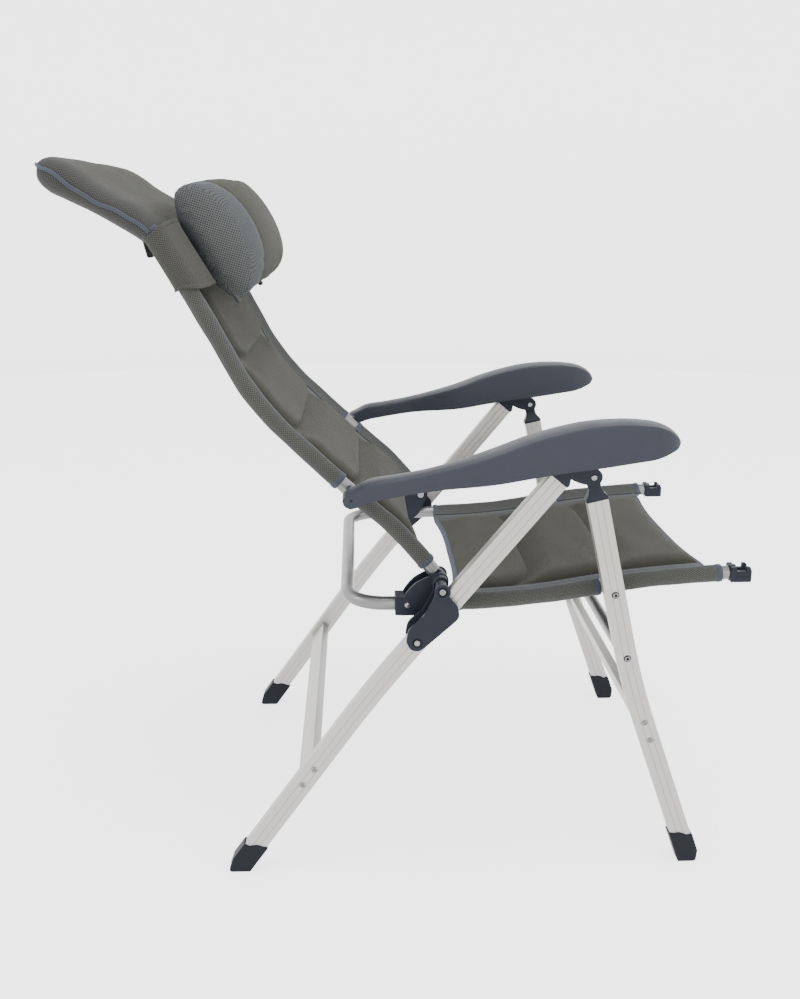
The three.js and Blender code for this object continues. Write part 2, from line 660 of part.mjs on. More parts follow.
function armRoom() {
  const roof = ARM_TOP.slice(1, 8).map(([y, z]) => [y, z - 5 - GAP]);
  const shape = outline([[-339, 640], [-339, 729], ...roof, [-12, 662], [-12, 620]].reverse());
  return sidePlate(shape, ARM_OUTER + 5, ARM_INNER - 5);
}

addPair("arm_rack", armRack(), GREY_PLASTIC);
addPair("arm_pivot_pin", pin(ARM_PIVOT, [
  [0, ARM_OUTER + 8],
  [4, ARM_OUTER + 8],
  [4, LOBE_INNER + GAP],
  [8, LOBE_INNER + GAP],
  [8, -TUBE_X - TUBE_R - GAP],
  [0, -TUBE_X - TUBE_R - GAP],
]), GREY_PLASTIC);

// ---------------------------------------------------------------- pins through the front leg
// The bolt that the seat hangs on, ending just short of the seat tube, and the round bar's screw.
addPair("seat_pivot_bolt", pin(SEAT_PIVOT, [
  [0, legOuter - 3],
  [3.4, legOuter - 3],
  [4.2, legOuter - GAP],
  [0, legOuter - GAP],
]), STEEL);
addPair("seat_pivot_spacer", cut(
  crossBar(SEAT_PIVOT, 8, legInner + GAP, -TUBE_X - SLEEVE_R - 0.8),
  crossBar(SEAT_PIVOT, 3.5, legInner - 1, -TUBE_X),
), GREY_PLASTIC);
addPair("round_bar_screw", pin(ROUND_BAR, [
  [0, legOuter - 2.4],
  [3.4, legOuter - 2.4],
  [4.2, legOuter - GAP],
  [0, legOuter - GAP],
]), STEEL);

// ---------------------------------------------------------------- head cushion
const CUSHION = [274.5, 1005];
const CUSHION_LEAN = 28;              // degrees back from upright
const CUSHION_HALF = [203, 57, 95];   // across, through and up the back
const CUSHION_ROUND = [0.32, 0.85, 0.85];

// A stuffed bolster with nearly flat ends.
function headCushion() {
  const ball = new THREE.SphereGeometry(1, 20, 12);
  ball.rotateZ(Math.PI / 2);
  const spots = ball.getAttribute("position");
  for (let i = 0; i < spots.count; i += 1) {
    const spot = [spots.getX(i), spots.getY(i), spots.getZ(i)];
    const [x, y, z] = spot.map((v, k) => Math.sign(v) * Math.abs(v) ** CUSHION_ROUND[k] * CUSHION_HALF[k]);
    spots.setXYZ(i, x, y, z);
  }
  ball.rotateX(rad(-CUSHION_LEAN));
  return solid(ball.translate(0, CUSHION[0], CUSHION[1]));
}

add("head_cushion", headCushion(), PAD_FABRIC);

// The wide band that holds the cushion, a closed loop round the backrest.
const BAND_MIDDLE = [346, 966];
const BAND_LEAN = [0.5, Math.cos(rad(30))];
const BAND_HALF = 42;
const BAND_THICK = 1.9;
const BAND_REACH = TUBE_X + 15.6;
const BAND_FRONT = 17;
const BAND_BACK = 20;

function headBand() {
  const loop = (inset, extra) => leaningBlock(BAND_MIDDLE, BAND_LEAN,
    [-BAND_HALF - extra, BAND_HALF + extra],
    [-BAND_BACK + inset, BAND_FRONT - inset], -BAND_REACH + inset, BAND_REACH - inset);
  return cut(loop(0, 0), loop(BAND_THICK, 1));
}

add("head_band", headBand(), MESH_FABRIC);

export default chair;
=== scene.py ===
"""A high-backed reclining folding camp chair: its visible pieces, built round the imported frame.

Sizes are in millimetres until a mesh is made. x runs across the chair with the sitter's right
hand on the -x side, the sitter faces -y, z is up and the floor is z = 0. Side-view points are (y, z).
"""
import json
import math

import bmesh
import bpy
import numpy as np
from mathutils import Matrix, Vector

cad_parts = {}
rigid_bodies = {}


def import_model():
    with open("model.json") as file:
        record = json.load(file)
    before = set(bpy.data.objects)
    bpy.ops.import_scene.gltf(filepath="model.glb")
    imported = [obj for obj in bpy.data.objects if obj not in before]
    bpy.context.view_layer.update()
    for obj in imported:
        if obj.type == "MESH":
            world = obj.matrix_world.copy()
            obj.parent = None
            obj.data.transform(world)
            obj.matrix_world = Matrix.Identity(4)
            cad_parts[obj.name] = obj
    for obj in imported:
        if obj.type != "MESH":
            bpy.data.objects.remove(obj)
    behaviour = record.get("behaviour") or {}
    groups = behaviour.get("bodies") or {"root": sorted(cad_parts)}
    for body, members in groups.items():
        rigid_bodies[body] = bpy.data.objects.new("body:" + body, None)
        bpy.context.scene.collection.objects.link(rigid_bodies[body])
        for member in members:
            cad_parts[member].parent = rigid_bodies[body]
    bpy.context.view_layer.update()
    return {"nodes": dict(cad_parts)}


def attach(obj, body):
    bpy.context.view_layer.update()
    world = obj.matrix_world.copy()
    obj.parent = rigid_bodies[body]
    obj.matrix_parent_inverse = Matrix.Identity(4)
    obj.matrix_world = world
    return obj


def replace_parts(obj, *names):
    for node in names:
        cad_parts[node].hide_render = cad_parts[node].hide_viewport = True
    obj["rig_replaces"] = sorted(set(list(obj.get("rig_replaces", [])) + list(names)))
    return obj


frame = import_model()

MM = 0.001
SIDES = (("right", 1.0), ("left", -1.0))

# ---- driving sizes
LEG_X = -300.0                     # middle of the right leg
LEG_THICK = 20.0
LEG_FACE = 32.0
LEG_OUTER = LEG_X - LEG_THICK / 2
TUBE_X = -255.0                    # middle of the right side tubes
TUBE_R = 11.0
SLEEVE_R = 13.2
SLEEVE_TAIL = 27.0                 # from the tube's middle to the sleeve's seam
STRIP_X = 195.0                    # where the mesh side strips meet the smooth panels

FRONT_PIVOT = (-266, 657)
SEAT_PIVOT = (-308.5, 470)
LINK_PIVOT = (-4, 400.5)
BACK_PIVOT = (-42, 483.5)
ARM_PIVOT = (94, 630)

REAR_LEG = ((-214.0, 651.6), (66.5, 311.0), (277.0, 15.5))      # top, bend and lower end
FRONT_LEG = ((-274, 620), (-343, 321), (-451.8, 15.5))
LEG_BEND = 75.0
FOOT_WALL = 2.2

SEAT_LINE = ((-500, 485.5), (-430, 481), (-360, 474.5), (-290, 464.5), (-220, 453.5),
             (-150, 446.5), (-80, 443), (-20, 441.5), (40, 441.5))
SEAT_REAR_Y = 103.0
SEAT_CORNER_R = 62.0
BACK_LINE = ((-33, 494.5), (-14.5, 517.5), (33, 570.5), (76, 608), (118, 646.5),
             (162, 688.8), (205, 731.3), (246, 783.5), (286, 857), (329, 935),
             (360, 987), (385, 1018), (420, 1042))
BACK_CROSS = (505, 1082)
BACK_CORNER_R = 75.0


# ---- lines and sections
def lengths(points):
    """Distance along a line up to each of its points."""
    steps = np.linalg.norm(np.diff(points, axis=0), axis=-1)
    return np.concatenate([[0], np.cumsum(steps)])


def unit(v):
    return v / np.linalg.norm(v)


def smooth_line(points, count):
    """A smooth line through the points, as evenly spaced points."""
    p = np.asarray(points, float)
    t = lengths(p)
    slope = np.gradient(p, t, axis=0)
    fine = np.linspace(0, t[-1], 40 * len(p))
    k = np.clip(np.searchsorted(t, fine, side="right") - 1, 0, len(t) - 2)
    span = (t[k + 1] - t[k])[:, None]
    s = (fine - t[k])[:, None] / span
    curve = ((2 * s**3 - 3 * s**2 + 1) * p[k] + (s**3 - 2 * s**2 + s) * span * slope[k]
             + (3 * s**2 - 2 * s**3) * p[k + 1] + (s**3 - s**2) * span * slope[k + 1])
    return respaced(curve, count)


def at(line, distance, values=None):
    """A line's points, or values given for its points, at distances along it."""
    d = lengths(line)
    columns = np.transpose(line if values is None else values)
    return np.stack([np.interp(distance, d, column) for column in columns], axis=-1)


def respaced(line, count):
    return at(line, np.linspace(0, lengths(line)[-1], count))


def side_view(points, x):
    """Side-view points as points in space, at one x."""
    p = np.asarray(points, float)
    return np.column_stack([np.full(len(p), x), p])


def offset(origin, points):
    """Side-view points given from an origin; a third number, a corner's radius, stays."""
    return [(origin[0] + y, origin[1] + z, *rest) for y, z, *rest in points]


def fillet(corners, radius=0.0, steps=6):
    """A closed outline with rounded corners; a corner's third number is a radius of its own."""
    made = []
    for i, corner in enumerate(corners):
        here = np.array(corner[:2], float)
        before = np.array(corners[i - 1][:2], float) - here
        after = np.array(corners[(i + 1) % len(corners)][:2], float) - here
        r = corner[2] if len(corner) > 2 else radius
        if r <= 0:
            made.append(here)
            continue
        a, b = unit(before), unit(after)
        half = math.acos(np.clip(a @ b, -1, 1)) / 2
        room = 0.48 * min(np.linalg.norm(before), np.linalg.norm(after))
        reach = min(r / math.tan(half), room)
        for t in np.linspace(0, 1, steps):
            made.append((1 - t)**2 * (here + a * reach) + 2 * t * (1 - t) * here
                        + t**2 * (here + b * reach))
    return np.array(made)


def circle(r, count=28, centre=(0, 0)):
    a = np.linspace(0, 2 * np.pi, count, endpoint=False)
    return np.column_stack([centre[0] + r * np.cos(a), centre[1] + r * np.sin(a)])


def arc(centre, r, start, end, count=10):
    a = np.radians(np.linspace(start, end, count))
    return np.column_stack([centre[0] + r * np.cos(a), centre[1] + r * np.sin(a)])


def box_section(width, height, radius):
    w, h = width / 2, height / 2
    return fillet([(-w, -h), (w, -h), (w, h), (-w, h)], radius)


# ---- surfaces
def quads(rows, cols, around):
    """Faces of a grid of points and, for each face corner, its row and unwrapped column."""
    faces, corners = [], []
    for i in range(rows - 1):
        for j in range(cols if around else cols - 1):
            k = (j + 1) % cols
            faces.append((i * cols + j, i * cols + k, (i + 1) * cols + k, (i + 1) * cols + j))
            corners.append(((i, j), (i, j + 1), (i + 1, j + 1), (i + 1, j)))
    return faces, corners


def skin(rings, around=True, caps=True):
    """Points, faces and weave coordinates of a surface through rings or rows of points."""
    rows, cols = rings.shape[:2]
    faces, corners = quads(rows, cols, around)
    along = lengths(rings.mean(axis=1))
    widest = rings[np.argmax(np.ptp(rings, axis=1).sum(axis=1))]
    across = lengths(np.vstack([widest, widest[:1]]))
    weave = [(across[j], along[i]) for quad in corners for i, j in quad]
    if around and caps:
        for start, row in ((0, 0), ((rows - 1) * cols, rows - 1)):
            faces.append(tuple(range(start, start + cols)))
            middle = rings[row].mean(axis=0)
            weave += [tuple(p[:2] + p[2] * 0.7) for p in rings[row] - middle]
    return rings.reshape(-1, 3), faces, weave


def merged(*parts):
    """Several skins as one."""
    points, faces, weave = [], [], []
    start = 0
    for part_points, part_faces, part_weave in parts:
        points.append(part_points)
        faces += [tuple(start + i for i in face) for face in part_faces]
        weave += part_weave
        start += len(part_points)
    return np.vstack(points), faces, weave


def frames(path, up):
    """Sideways and upward directions along a line, carried along it without twist."""
    tangent = np.gradient(path, axis=0)
    tangent /= np.linalg.norm(tangent, axis=1)[:, None]
    ups = []
    current = np.array(up, float)
    for t in tangent:
        current = unit(current - t * (current @ t))
        ups.append(current)
    ups = np.array(ups)
    return np.cross(tangent, ups), ups


def sweep(path, section, up=(0, 0, 1), caps=True):
    """A section run along a line; the section's points are (sideways, upwards)."""
    across, ups = frames(path, up)
    s = np.asarray(section, float)
    if s.ndim == 2:
        s = np.broadcast_to(s, (len(path), *s.shape))
    rings = path[:, None] + across[:, None] * s[:, :, :1] + ups[:, None] * s[:, :, 1:]
    return skin(rings, caps=caps)


def plate(outline, x0, x1):
    """A side-view outline run straight across the chair."""
    ring = np.asarray(outline, float)
    return skin(np.stack([side_view(ring, x0), side_view(ring, x1)]))


def turned(pivot, profile, count=28, face=0.0):
    """A body turned about an axis across the chair: pairs of a radius and an x from the face."""
    rings = [side_view(circle(max(r, 0.02), count, pivot), face + x) for r, x in profile]
    return skin(np.stack(rings))


def bar(pivot, r, x0, x1, edge=0.8):
    """A round bar across the chair with its rims broken."""
    step = edge if x1 > x0 else -edge
    return turned(pivot, [(r - edge, x0), (r, x0 + step), (r, x1 - step), (r - edge, x1)])


# ---- pieces
def linked(name, data):
    """A new object in the scene."""
    made = bpy.data.objects.new(name, data)
    bpy.context.scene.collection.objects.link(made)
    return made


def piece(name, shape, material, body, slot, mirror=1.0, sharp=32.0, bevel=0.0, replaces=(),
          materials=None, choose=None):
    """Makes one visible piece, in place, riding on its body."""
    points, faces, weave = shape
    placed = np.array(points, float) * MM
    placed[:, 0] *= mirror
    mesh = bpy.data.meshes.new(name)
    mesh.from_pydata(placed.tolist(), [], faces)
    layer = mesh.uv_layers.new(name="weave")
    layer.data.foreach_set("uv", (np.array(weave, np.float32) * MM).ravel())
    for each in materials or [material]:
        mesh.materials.append(each)
    if choose is not None:
        mesh.polygons.foreach_set("material_index", choose)
    work = bmesh.new()
    work.from_mesh(mesh)
    bmesh.ops.recalc_face_normals(work, faces=work.faces)
    work.to_mesh(mesh)
    work.free()
    mesh.polygons.foreach_set("use_smooth", [True] * len(mesh.polygons))
    mesh.set_sharp_from_angle(angle=math.radians(sharp))
    made = linked(name, mesh)
    if bevel:
        soften(made, bevel)
    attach(made, body)
    if replaces:
        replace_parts(made, *replaces)
    return made


def soften(made, width):
    rim = made.modifiers.new("rim", "BEVEL")
    rim.width = width * MM
    rim.segments = 3
    rim.limit_method = "ANGLE"
    rim.angle_limit = math.radians(38)
    rim.use_clamp_overlap = False
    rim.harden_normals = True


def pair(name, shape, material, body, slot, stands_for=(), **kw):
    """The right-hand piece as drawn and its mirror image on the left."""
    made = []
    for side, mirror in SIDES:
        nodes = [f"{node}_{side}" for node in stands_for]
        made.append(piece(f"{name}_{side}", shape, material, body, slot, mirror, replaces=nodes, **kw))
    return made


# ---- finishes
class Finish:
    """A procedural material: its nodes, its shader and the coordinates that its patterns follow."""

    def __init__(self, name, **direct):
        self.material = bpy.data.materials.new(name)
        self.material.use_nodes = True
        self.tree = self.material.node_tree
        self.shader = self.tree.nodes["Principled BSDF"]
        self.place = self.tree.nodes.new("ShaderNodeTexCoord").outputs
        for key, value in direct.items():
            self.shader.inputs[key.replace("_", " ")].default_value = value

    def fill(self, socket, value):
        if isinstance(value, bpy.types.NodeSocket):
            self.tree.links.new(value, socket)
        else:
            socket.default_value = value

    def node(self, kind, settings=None, **values):
        """A node with its properties set, and its inputs filled or linked by name or by number."""
        made = self.tree.nodes.new(kind)
        for key, value in (settings or {}).items():
            setattr(made, key, value)
        for key, value in values.items():
            self.fill(made.inputs[int(key[1:]) if key[1:].isdigit() else key.replace("_", " ")], value)
        return made

    def calc(self, operation, a, b=0.0, c=0.0):
        return self.node("ShaderNodeMath", {"operation": operation}, _0=a, _1=b, _2=c).outputs[0]

    def blend(self, factor, a, b):
        return self.node("ShaderNodeMix", {"data_type": "RGBA"}, _0=factor, _6=a, _7=b).outputs[2]

    def noise(self, scale, detail, vector=None):
        where = self.place["Object"] if vector is None else vector
        made = self.node("ShaderNodeTexNoise", Scale=scale, Detail=detail, Roughness=0.55, Vector=where)
        return made.outputs["Fac"]

    def waves(self, pitch):
        """Sine waves along and across the cloth, some millimetres apart."""
        turn = 2 * math.pi / (pitch * MM)
        split = self.node("ShaderNodeSeparateXYZ", Vector=self.place["UV"])

        def wave(axis, share=1.0):
            return self.calc("SINE", self.calc("MULTIPLY", split.outputs[axis], turn * share))
        return wave

    def done(self, colour, roughness=None, relief=None, strength=0.0, depth=0.0):
        """The material with its colour and, where they are given, its roughness and relief linked."""
        self.fill(self.shader.inputs["Base Color"], colour)
        if roughness is not None:
            self.fill(self.shader.inputs["Roughness"], roughness)
        if relief is not None:
            made = self.node("ShaderNodeBump", Strength=strength, Distance=depth, Height=relief)
            self.fill(self.shader.inputs["Normal"], made.outputs["Normal"])
        return self.material


def tone(colour, factor):
    return tuple(min(1, c * factor) for c in colour[:3]) + (1,)


def aluminium(name, colour, roughness):
    """Drawn, clear-anodised aluminium with fine lines along its length and faint handling marks."""
    f = Finish(name, Metallic=0.85)
    drawn = f.node("ShaderNodeMapping", Vector=f.place["UV"], Scale=(2600.0, 14.0, 1.0))
    lines = f.noise(1.0, 4.0, drawn.outputs["Vector"])
    marks = f.noise(22, 5)
    shade = f.calc("MULTIPLY_ADD", lines, 0.5, f.calc("MULTIPLY", marks, 0.5))
    return f.done(f.blend(shade, tone(colour, 0.88), tone(colour, 1.06)),
                  f.calc("MULTIPLY_ADD", marks, 0.16, roughness - 0.06), lines, 0.12, 0.0004)


def bright_steel(name):
    """Polished rivets and pins with faint turning marks."""
    f = Finish(name, Metallic=1.0)
    marks = f.noise(700, 3)
    return f.done(f.blend(marks, (0.09, 0.09, 0.095, 1), (0.24, 0.24, 0.25, 1)),
                  f.calc("MULTIPLY_ADD", marks, 0.16, 0.12), marks, 0.08, 0.0003)


def plastic(name, colour, roughness, specular=0.12):
    """Moulded plastic with a fine spark-eroded grain and slightly uneven colour."""
    f = Finish(name, Specular_IOR_Level=specular)
    fine = f.noise(1500, 2)
    broad = f.noise(38, 4)
    return f.done(f.blend(broad, tone(colour, 0.88), tone(colour, 1.14)),
                  f.calc("MULTIPLY_ADD", broad, 0.14, roughness - 0.07), fine, 0.22, 0.0004)


def mesh_cloth(name, yarn, hole, pitch, depth, nap):
    """Spacer mesh: thick yarn round small dark holes in a diamond lattice."""
    f = Finish(name, Roughness=0.85, **nap)
    wave = f.waves(pitch)
    lattice = f.calc("MULTIPLY", wave(0), wave(1))
    opening = f.node("ShaderNodeMapRange", {"interpolation_type": "SMOOTHSTEP"},
                     Value=lattice, From_Min=0.12, From_Max=0.62).outputs[0]
    broad = f.noise(12, 4)
    fuzz = f.noise(900, 2)
    shade = f.calc("MULTIPLY_ADD", fuzz, 0.6, f.calc("MULTIPLY", broad, 0.4))
    thread = f.blend(shade, tone(yarn, 0.8), tone(yarn, 1.2))
    return f.done(f.blend(f.calc("MULTIPLY", opening, depth), thread, (*hole, 1.0)),
                  relief=f.calc("SUBTRACT", 1.0, opening), strength=0.75, depth=0.0014)


def ribbed_cloth(name, colour, pitch, nap):
    """Smooth knitted cover with fine cross ribs, a little fuzz and slow changes of shade."""
    f = Finish(name, Roughness=0.9, **nap)
    wave = f.waves(pitch)
    relief = f.calc("MULTIPLY_ADD", wave(1), 0.35, f.calc("MULTIPLY_ADD", wave(0, 1.6), 0.15, 0.5))
    broad = f.noise(9, 4)
    fuzz = f.noise(1100, 2)
    shade = f.calc("MULTIPLY_ADD", broad, 0.45, f.calc("MULTIPLY", fuzz, 0.3))
    # The rib relief also drives the colour: painted shade in the rib grooves and painted highlight on the
    # crests.
    shade = f.calc("MULTIPLY_ADD", relief, 0.45, f.calc("SUBTRACT", shade, 0.1))
    return f.done(f.blend(shade, tone(colour, 0.72), tone(colour, 1.24)), relief=relief, strength=0.55,
                  depth=0.0008)


MATT = {"Specular_IOR_Level": 0.06, "Sheen_Weight": 0.05, "Sheen_Roughness": 0.5}
COOL_SHEEN = {"Specular_IOR_Level": 0.08, "Sheen_Weight": 0.13, "Sheen_Roughness": 0.45,
              "Sheen_Tint": (0.62, 0.7, 0.9, 1.0)}
ALUMINIUM = aluminium("anodised_aluminium", (0.31, 0.30, 0.288), 0.42)
TUBING = aluminium("satin_tube", (0.135, 0.135, 0.135), 0.33)
STEEL = bright_steel("bright_steel")
GREY = plastic("slate_plastic", (0.0062, 0.0076, 0.0125), 0.42)
ARM = plastic("armrest_plastic", (0.0104, 0.0124, 0.0192), 0.5, 0.2)
FOOT = plastic("foot_plastic", (0.0022, 0.0028, 0.0052), 0.5)
BLACK = plastic("black_plastic", (0.003, 0.003, 0.004), 0.6)
MESH = mesh_cloth("sleeve_mesh", (0.040, 0.040, 0.035), (0.003, 0.004, 0.004), 4.4, 0.95, COOL_SHEEN)
HEAD_MESH = mesh_cloth("head_mesh", (0.031, 0.031, 0.029), (0.003, 0.003, 0.004), 4.4, 0.95, MATT)
END_MESH = mesh_cloth("cushion_mesh", (0.044, 0.045, 0.043), (0.003, 0.005, 0.008), 4.6, 0.97, COOL_SHEEN)
BAND_MESH = mesh_cloth("band_mesh", (0.034, 0.034, 0.029), (0.004, 0.004, 0.004), 4.2, 0.95, MATT)
PANEL = ribbed_cloth("panel_cloth", (0.0235, 0.0232, 0.0185), 2.2, MATT)
BINDING = ribbed_cloth("binding_tape", (0.031, 0.034, 0.043), 1.4, COOL_SHEEN)
BLACK_WEB = ribbed_cloth("strap_web", (0.008, 0.008, 0.009), 1.8, MATT)


# ---- legs, feet and bars
def leg_path(top, bend, end):
    top, bend, end = (np.array(p) for p in (top, bend, end))
    before = bend + unit(top - bend) * LEG_BEND
    after = bend + unit(end - bend) * LEG_BEND
    t = np.linspace(0, 1, 22)[:, None]
    curve = (1 - t)**2 * before + 2 * t * (1 - t) * bend + t**2 * after
    return side_view(np.vstack([top, curve, end]), LEG_X)


def leg_section():
    """A flat profile with rounded corners and two fine grooves along each wide face."""
    w, h = LEG_THICK / 2, LEG_FACE / 2
    groove_at, groove_half, groove_deep = 5, 0.75, 0.9
    right = []
    for middle in (-groove_at, groove_at):
        right += [(w, middle - groove_half), (w - groove_deep, middle), (w, middle + groove_half)]
    left = [(-x, y) for x, y in reversed(right)]
    return fillet([(-w, -h, 2), (w, -h, 2), *right, (w, h, 2), (-w, h, 2), *left])


def leg(line):
    return sweep(leg_path(*line), leg_section(), up=(0, 1, 0))


def foot(line, outward):
    """A boot over the leg's end: flat sole, rounded outer corner, slanting top with a shallow wave."""
    end = np.array(line[2])
    down = unit(end - np.array(line[1]))
    across = np.array([-down[1], down[0]]) * outward
    if across[0] * outward < 0:
        across = -across
    half = LEG_FACE / 2 + FOOT_WALL

    def place(s, p):
        return end + s * down + p * across

    def on_floor(p):
        start = place(0, p)
        return start - down * start[1] / down[1]

    top = [(*place(-31, half), 3), (*place(-33, half * 0.45), 8), (*place(-41, 0), 8),
           (*place(-43, -half * 0.5), 6), (*place(-47, -half), 2.5)]
    outline = fillet([*top, (*on_floor(-half), 2), (on_floor(half)[0] - outward * 9, 0, 6),
                      (*place(2, half), 9)])
    return plate(outline, LEG_OUTER - FOOT_WALL, LEG_X + LEG_THICK / 2 + FOOT_WALL)


for part, line, outward in (("rear", REAR_LEG, 1.0), ("front", FRONT_LEG, -1.0)):
    pair(f"visual_{part}_leg", leg(line), ALUMINIUM, f"{part}_frame", "aluminium", [f"{part}_leg"],
         bevel=0.5)
    pair(f"visual_{part}_foot", foot(line, outward), FOOT, f"{part}_frame", "foot_plastic",
         [f"{part}_foot"], bevel=1.6)


def leg_spot(line, distance, upward):
    """A point on a leg's middle line, some way from the bend, and the leg's direction there."""
    bend = np.array(line[1])
    direction = unit(np.array(line[0] if upward else line[2]) - bend)
    return bend + direction * distance, direction


REAR_BAR, REAR_DOWN = leg_spot(REAR_LEG, 174.5, False)
FRONT_BAR, FRONT_DOWN = leg_spot(FRONT_LEG, 88, False)
ROUND_BAR, FRONT_UP = leg_spot(FRONT_LEG, 44.8, True)
BAR_REACH = -LEG_X - LEG_THICK / 2 - 0.3


def cross_bar(middle, section, direction=(0, 1)):
    """A straight bar between the legs."""
    path = np.array([(x, *middle) for x in (-BAR_REACH, 0, BAR_REACH)])
    return sweep(path, section, up=(0, *direction))


piece("visual_round_bar", cross_bar(ROUND_BAR, circle(10.0, 32)), TUBING, "front_frame", "aluminium",
      replaces=["front_round_bar"])


# ---- rivets, screws and pins
def dome(spot, x, r, height):
    """A domed head standing on the face at x, towards the outside."""
    turns = np.linspace(0, 1, 8) * math.pi / 2
    return turned(spot, [(r * math.cos(a), -height * math.sin(a)) for a in turns], face=x)


def ringed_head(spot, x, r):
    """A rivet head with a pressed ring: a raised rim, a dip and a raised middle."""
    profile = ((1, 0), (1, -1.2), (0.86, -1.9), (0.62, -1.8), (0.55, -1.1), (0.4, -1), (0.28, -1.9),
               (0, -2.1))
    return turned(spot, [(r * share, rise) for share, rise in profile], face=x)


def socket_head(spot, x, r):
    profile = ((1, 0), (1, -1.5), (0.8, -2.3), (0.52, -2.3), (0.5, -0.6), (0, -0.6))
    return turned(spot, [(r * share, rise) for share, rise in profile], face=x)


for part, middle, down in (("rear", REAR_BAR, REAR_DOWN), ("front", FRONT_BAR, FRONT_DOWN)):
    piece(f"visual_{part}_crossbar", cross_bar(middle, box_section(15.0, 42.0, 2.5), down), ALUMINIUM,
          f"{part}_frame", "aluminium", replaces=[f"{part}_crossbar"])
    for place, shift in (("lower", 16.5), ("upper", -16.5)):
        name = f"{part}_rivet_{place}"
        rivet = ringed_head(middle + down * shift, LEG_OUTER + 0.1, 4.4)
        pair(f"visual_{name}", rivet, STEEL, f"{part}_frame", "steel", [name])

for name, spot in (("seat_pivot_bolt", SEAT_PIVOT), ("round_bar_screw", ROUND_BAR)):
    pair(f"visual_{name}", socket_head(spot, LEG_OUTER + 0.1, 4.4), STEEL, "front_frame", "steel", [name])
    # A thin near-black ring under each head: painted shadow round the bolt and screw heads.
    pair(f"{name}_washer", bar(spot, 5.6, LEG_OUTER - 0.7, LEG_OUTER + 0.1, 0.3), FOOT, "front_frame",
         "foot_plastic")


# ---- top fittings and front pivots
def leaning(origin, direction, pairs):
    """Points given along a direction and square to it, as side-view points; a third number stays."""
    square = np.array([-direction[1], direction[0]])
    made = []
    for s, p, *rest in pairs:
        spot = np.array(origin) + s * direction + p * square
        made.append((*spot, *rest))
    return made


REAR_UP = unit(np.array(REAR_LEG[0]) - np.array(REAR_LEG[1]))
EAR_R = 13.0
EAR_HALF = 12.0
KNUCKLE_HALF = 6.5


def rear_top_fitting():
    """A plug in the leg's top that narrows to a neck, and two ears that hold the front leg."""
    side = [(5, 17, 2), (13, 12, 5), (24, 13, 3)]
    corners = [(0.3, -17, 1), *[(s, -p, r) for s, p, r in side], *side[::-1], (0.3, 17, 1)]
    neck = fillet(leaning(REAR_LEG[0], REAR_UP, corners))
    round_part = arc(FRONT_PIVOT, EAR_R, 100, 282, 22)
    lower = smooth_line([round_part[-1], *offset(FRONT_PIVOT, [(22, -8.6), (38, -1), (52, 5.5)])], 12)
    ear = np.vstack([round_part, lower[1:], offset(FRONT_PIVOT, [(60, 16), (44, 22), (6, 17)])])
    bridge = fillet(offset(FRONT_PIVOT, [(22, -6.5), (52, 4), (60, 16), (44, 21), (20, 17)]), 2)
    x0, x1 = LEG_X - EAR_HALF, LEG_X + EAR_HALF
    wall = EAR_HALF - KNUCKLE_HALF - 0.4
    return merged(plate(neck, LEG_X - 11.5, LEG_X + 11.5), plate(ear, x0, x0 + wall),
                  plate(ear, x1 - wall, x1), plate(bridge, x0 + 1, x1 - 1))


def front_cap():
    """A plug in the front leg's top: square flared foot, waisted neck and round knuckle."""
    stations = [(0.3, 17, 11), (2.5, 17, 11), (5.5, 15.8, 10.5), (10, 12.4, 8.6),
                (15, 10.2, 7), (20, 9.3, KNUCKLE_HALF), (27, 9.8, KNUCKLE_HALF),
                (33, 11, KNUCKLE_HALF)]
    square = np.array([-FRONT_UP[1], FRONT_UP[0]])
    rings = []
    for s, half, thick in stations:
        section = box_section(2 * thick, 2 * half, 2.2)
        spots = np.array(FRONT_LEG[0]) + s * FRONT_UP + section[:, 1:] * square
        rings.append(np.column_stack([LEG_X + section[:, 0], spots]))
    knuckle = bar(FRONT_PIVOT, EAR_R - 0.4, LEG_X - KNUCKLE_HALF, LEG_X + KNUCKLE_HALF)
    return merged(skin(np.stack(rings)), knuckle)


def front_pivot_pin():
    x0, x1 = LEG_X - EAR_HALF, LEG_X + EAR_HALF
    return merged(dome(FRONT_PIVOT, x0 + 0.1, 4.8, 2.4), bar(FRONT_PIVOT, 4, x0, x1),
                  bar(FRONT_PIVOT, 4.8, x1, x1 + 2.2))


pair("visual_rear_top_fitting", rear_top_fitting(), GREY, "rear_frame", "grey_plastic",
     ["rear_top_fitting"], bevel=0.9)
pair("visual_front_leg_cap", front_cap(), GREY, "front_frame", "grey_plastic", ["front_leg_cap"], sharp=50)
pair("visual_front_pivot_head", front_pivot_pin(), STEEL, "rear_frame", "steel", ["front_pivot_pin"])


# ---- hinge links and seat brackets
LINK_OUTER = LEG_X - 21.0
LINK_INNER = LEG_X + 17.0
LINK_PLATE = 5.5
BRACKET_OUTER = TUBE_X - 17.0
BRACKET_INNER = TUBE_X + 17.0


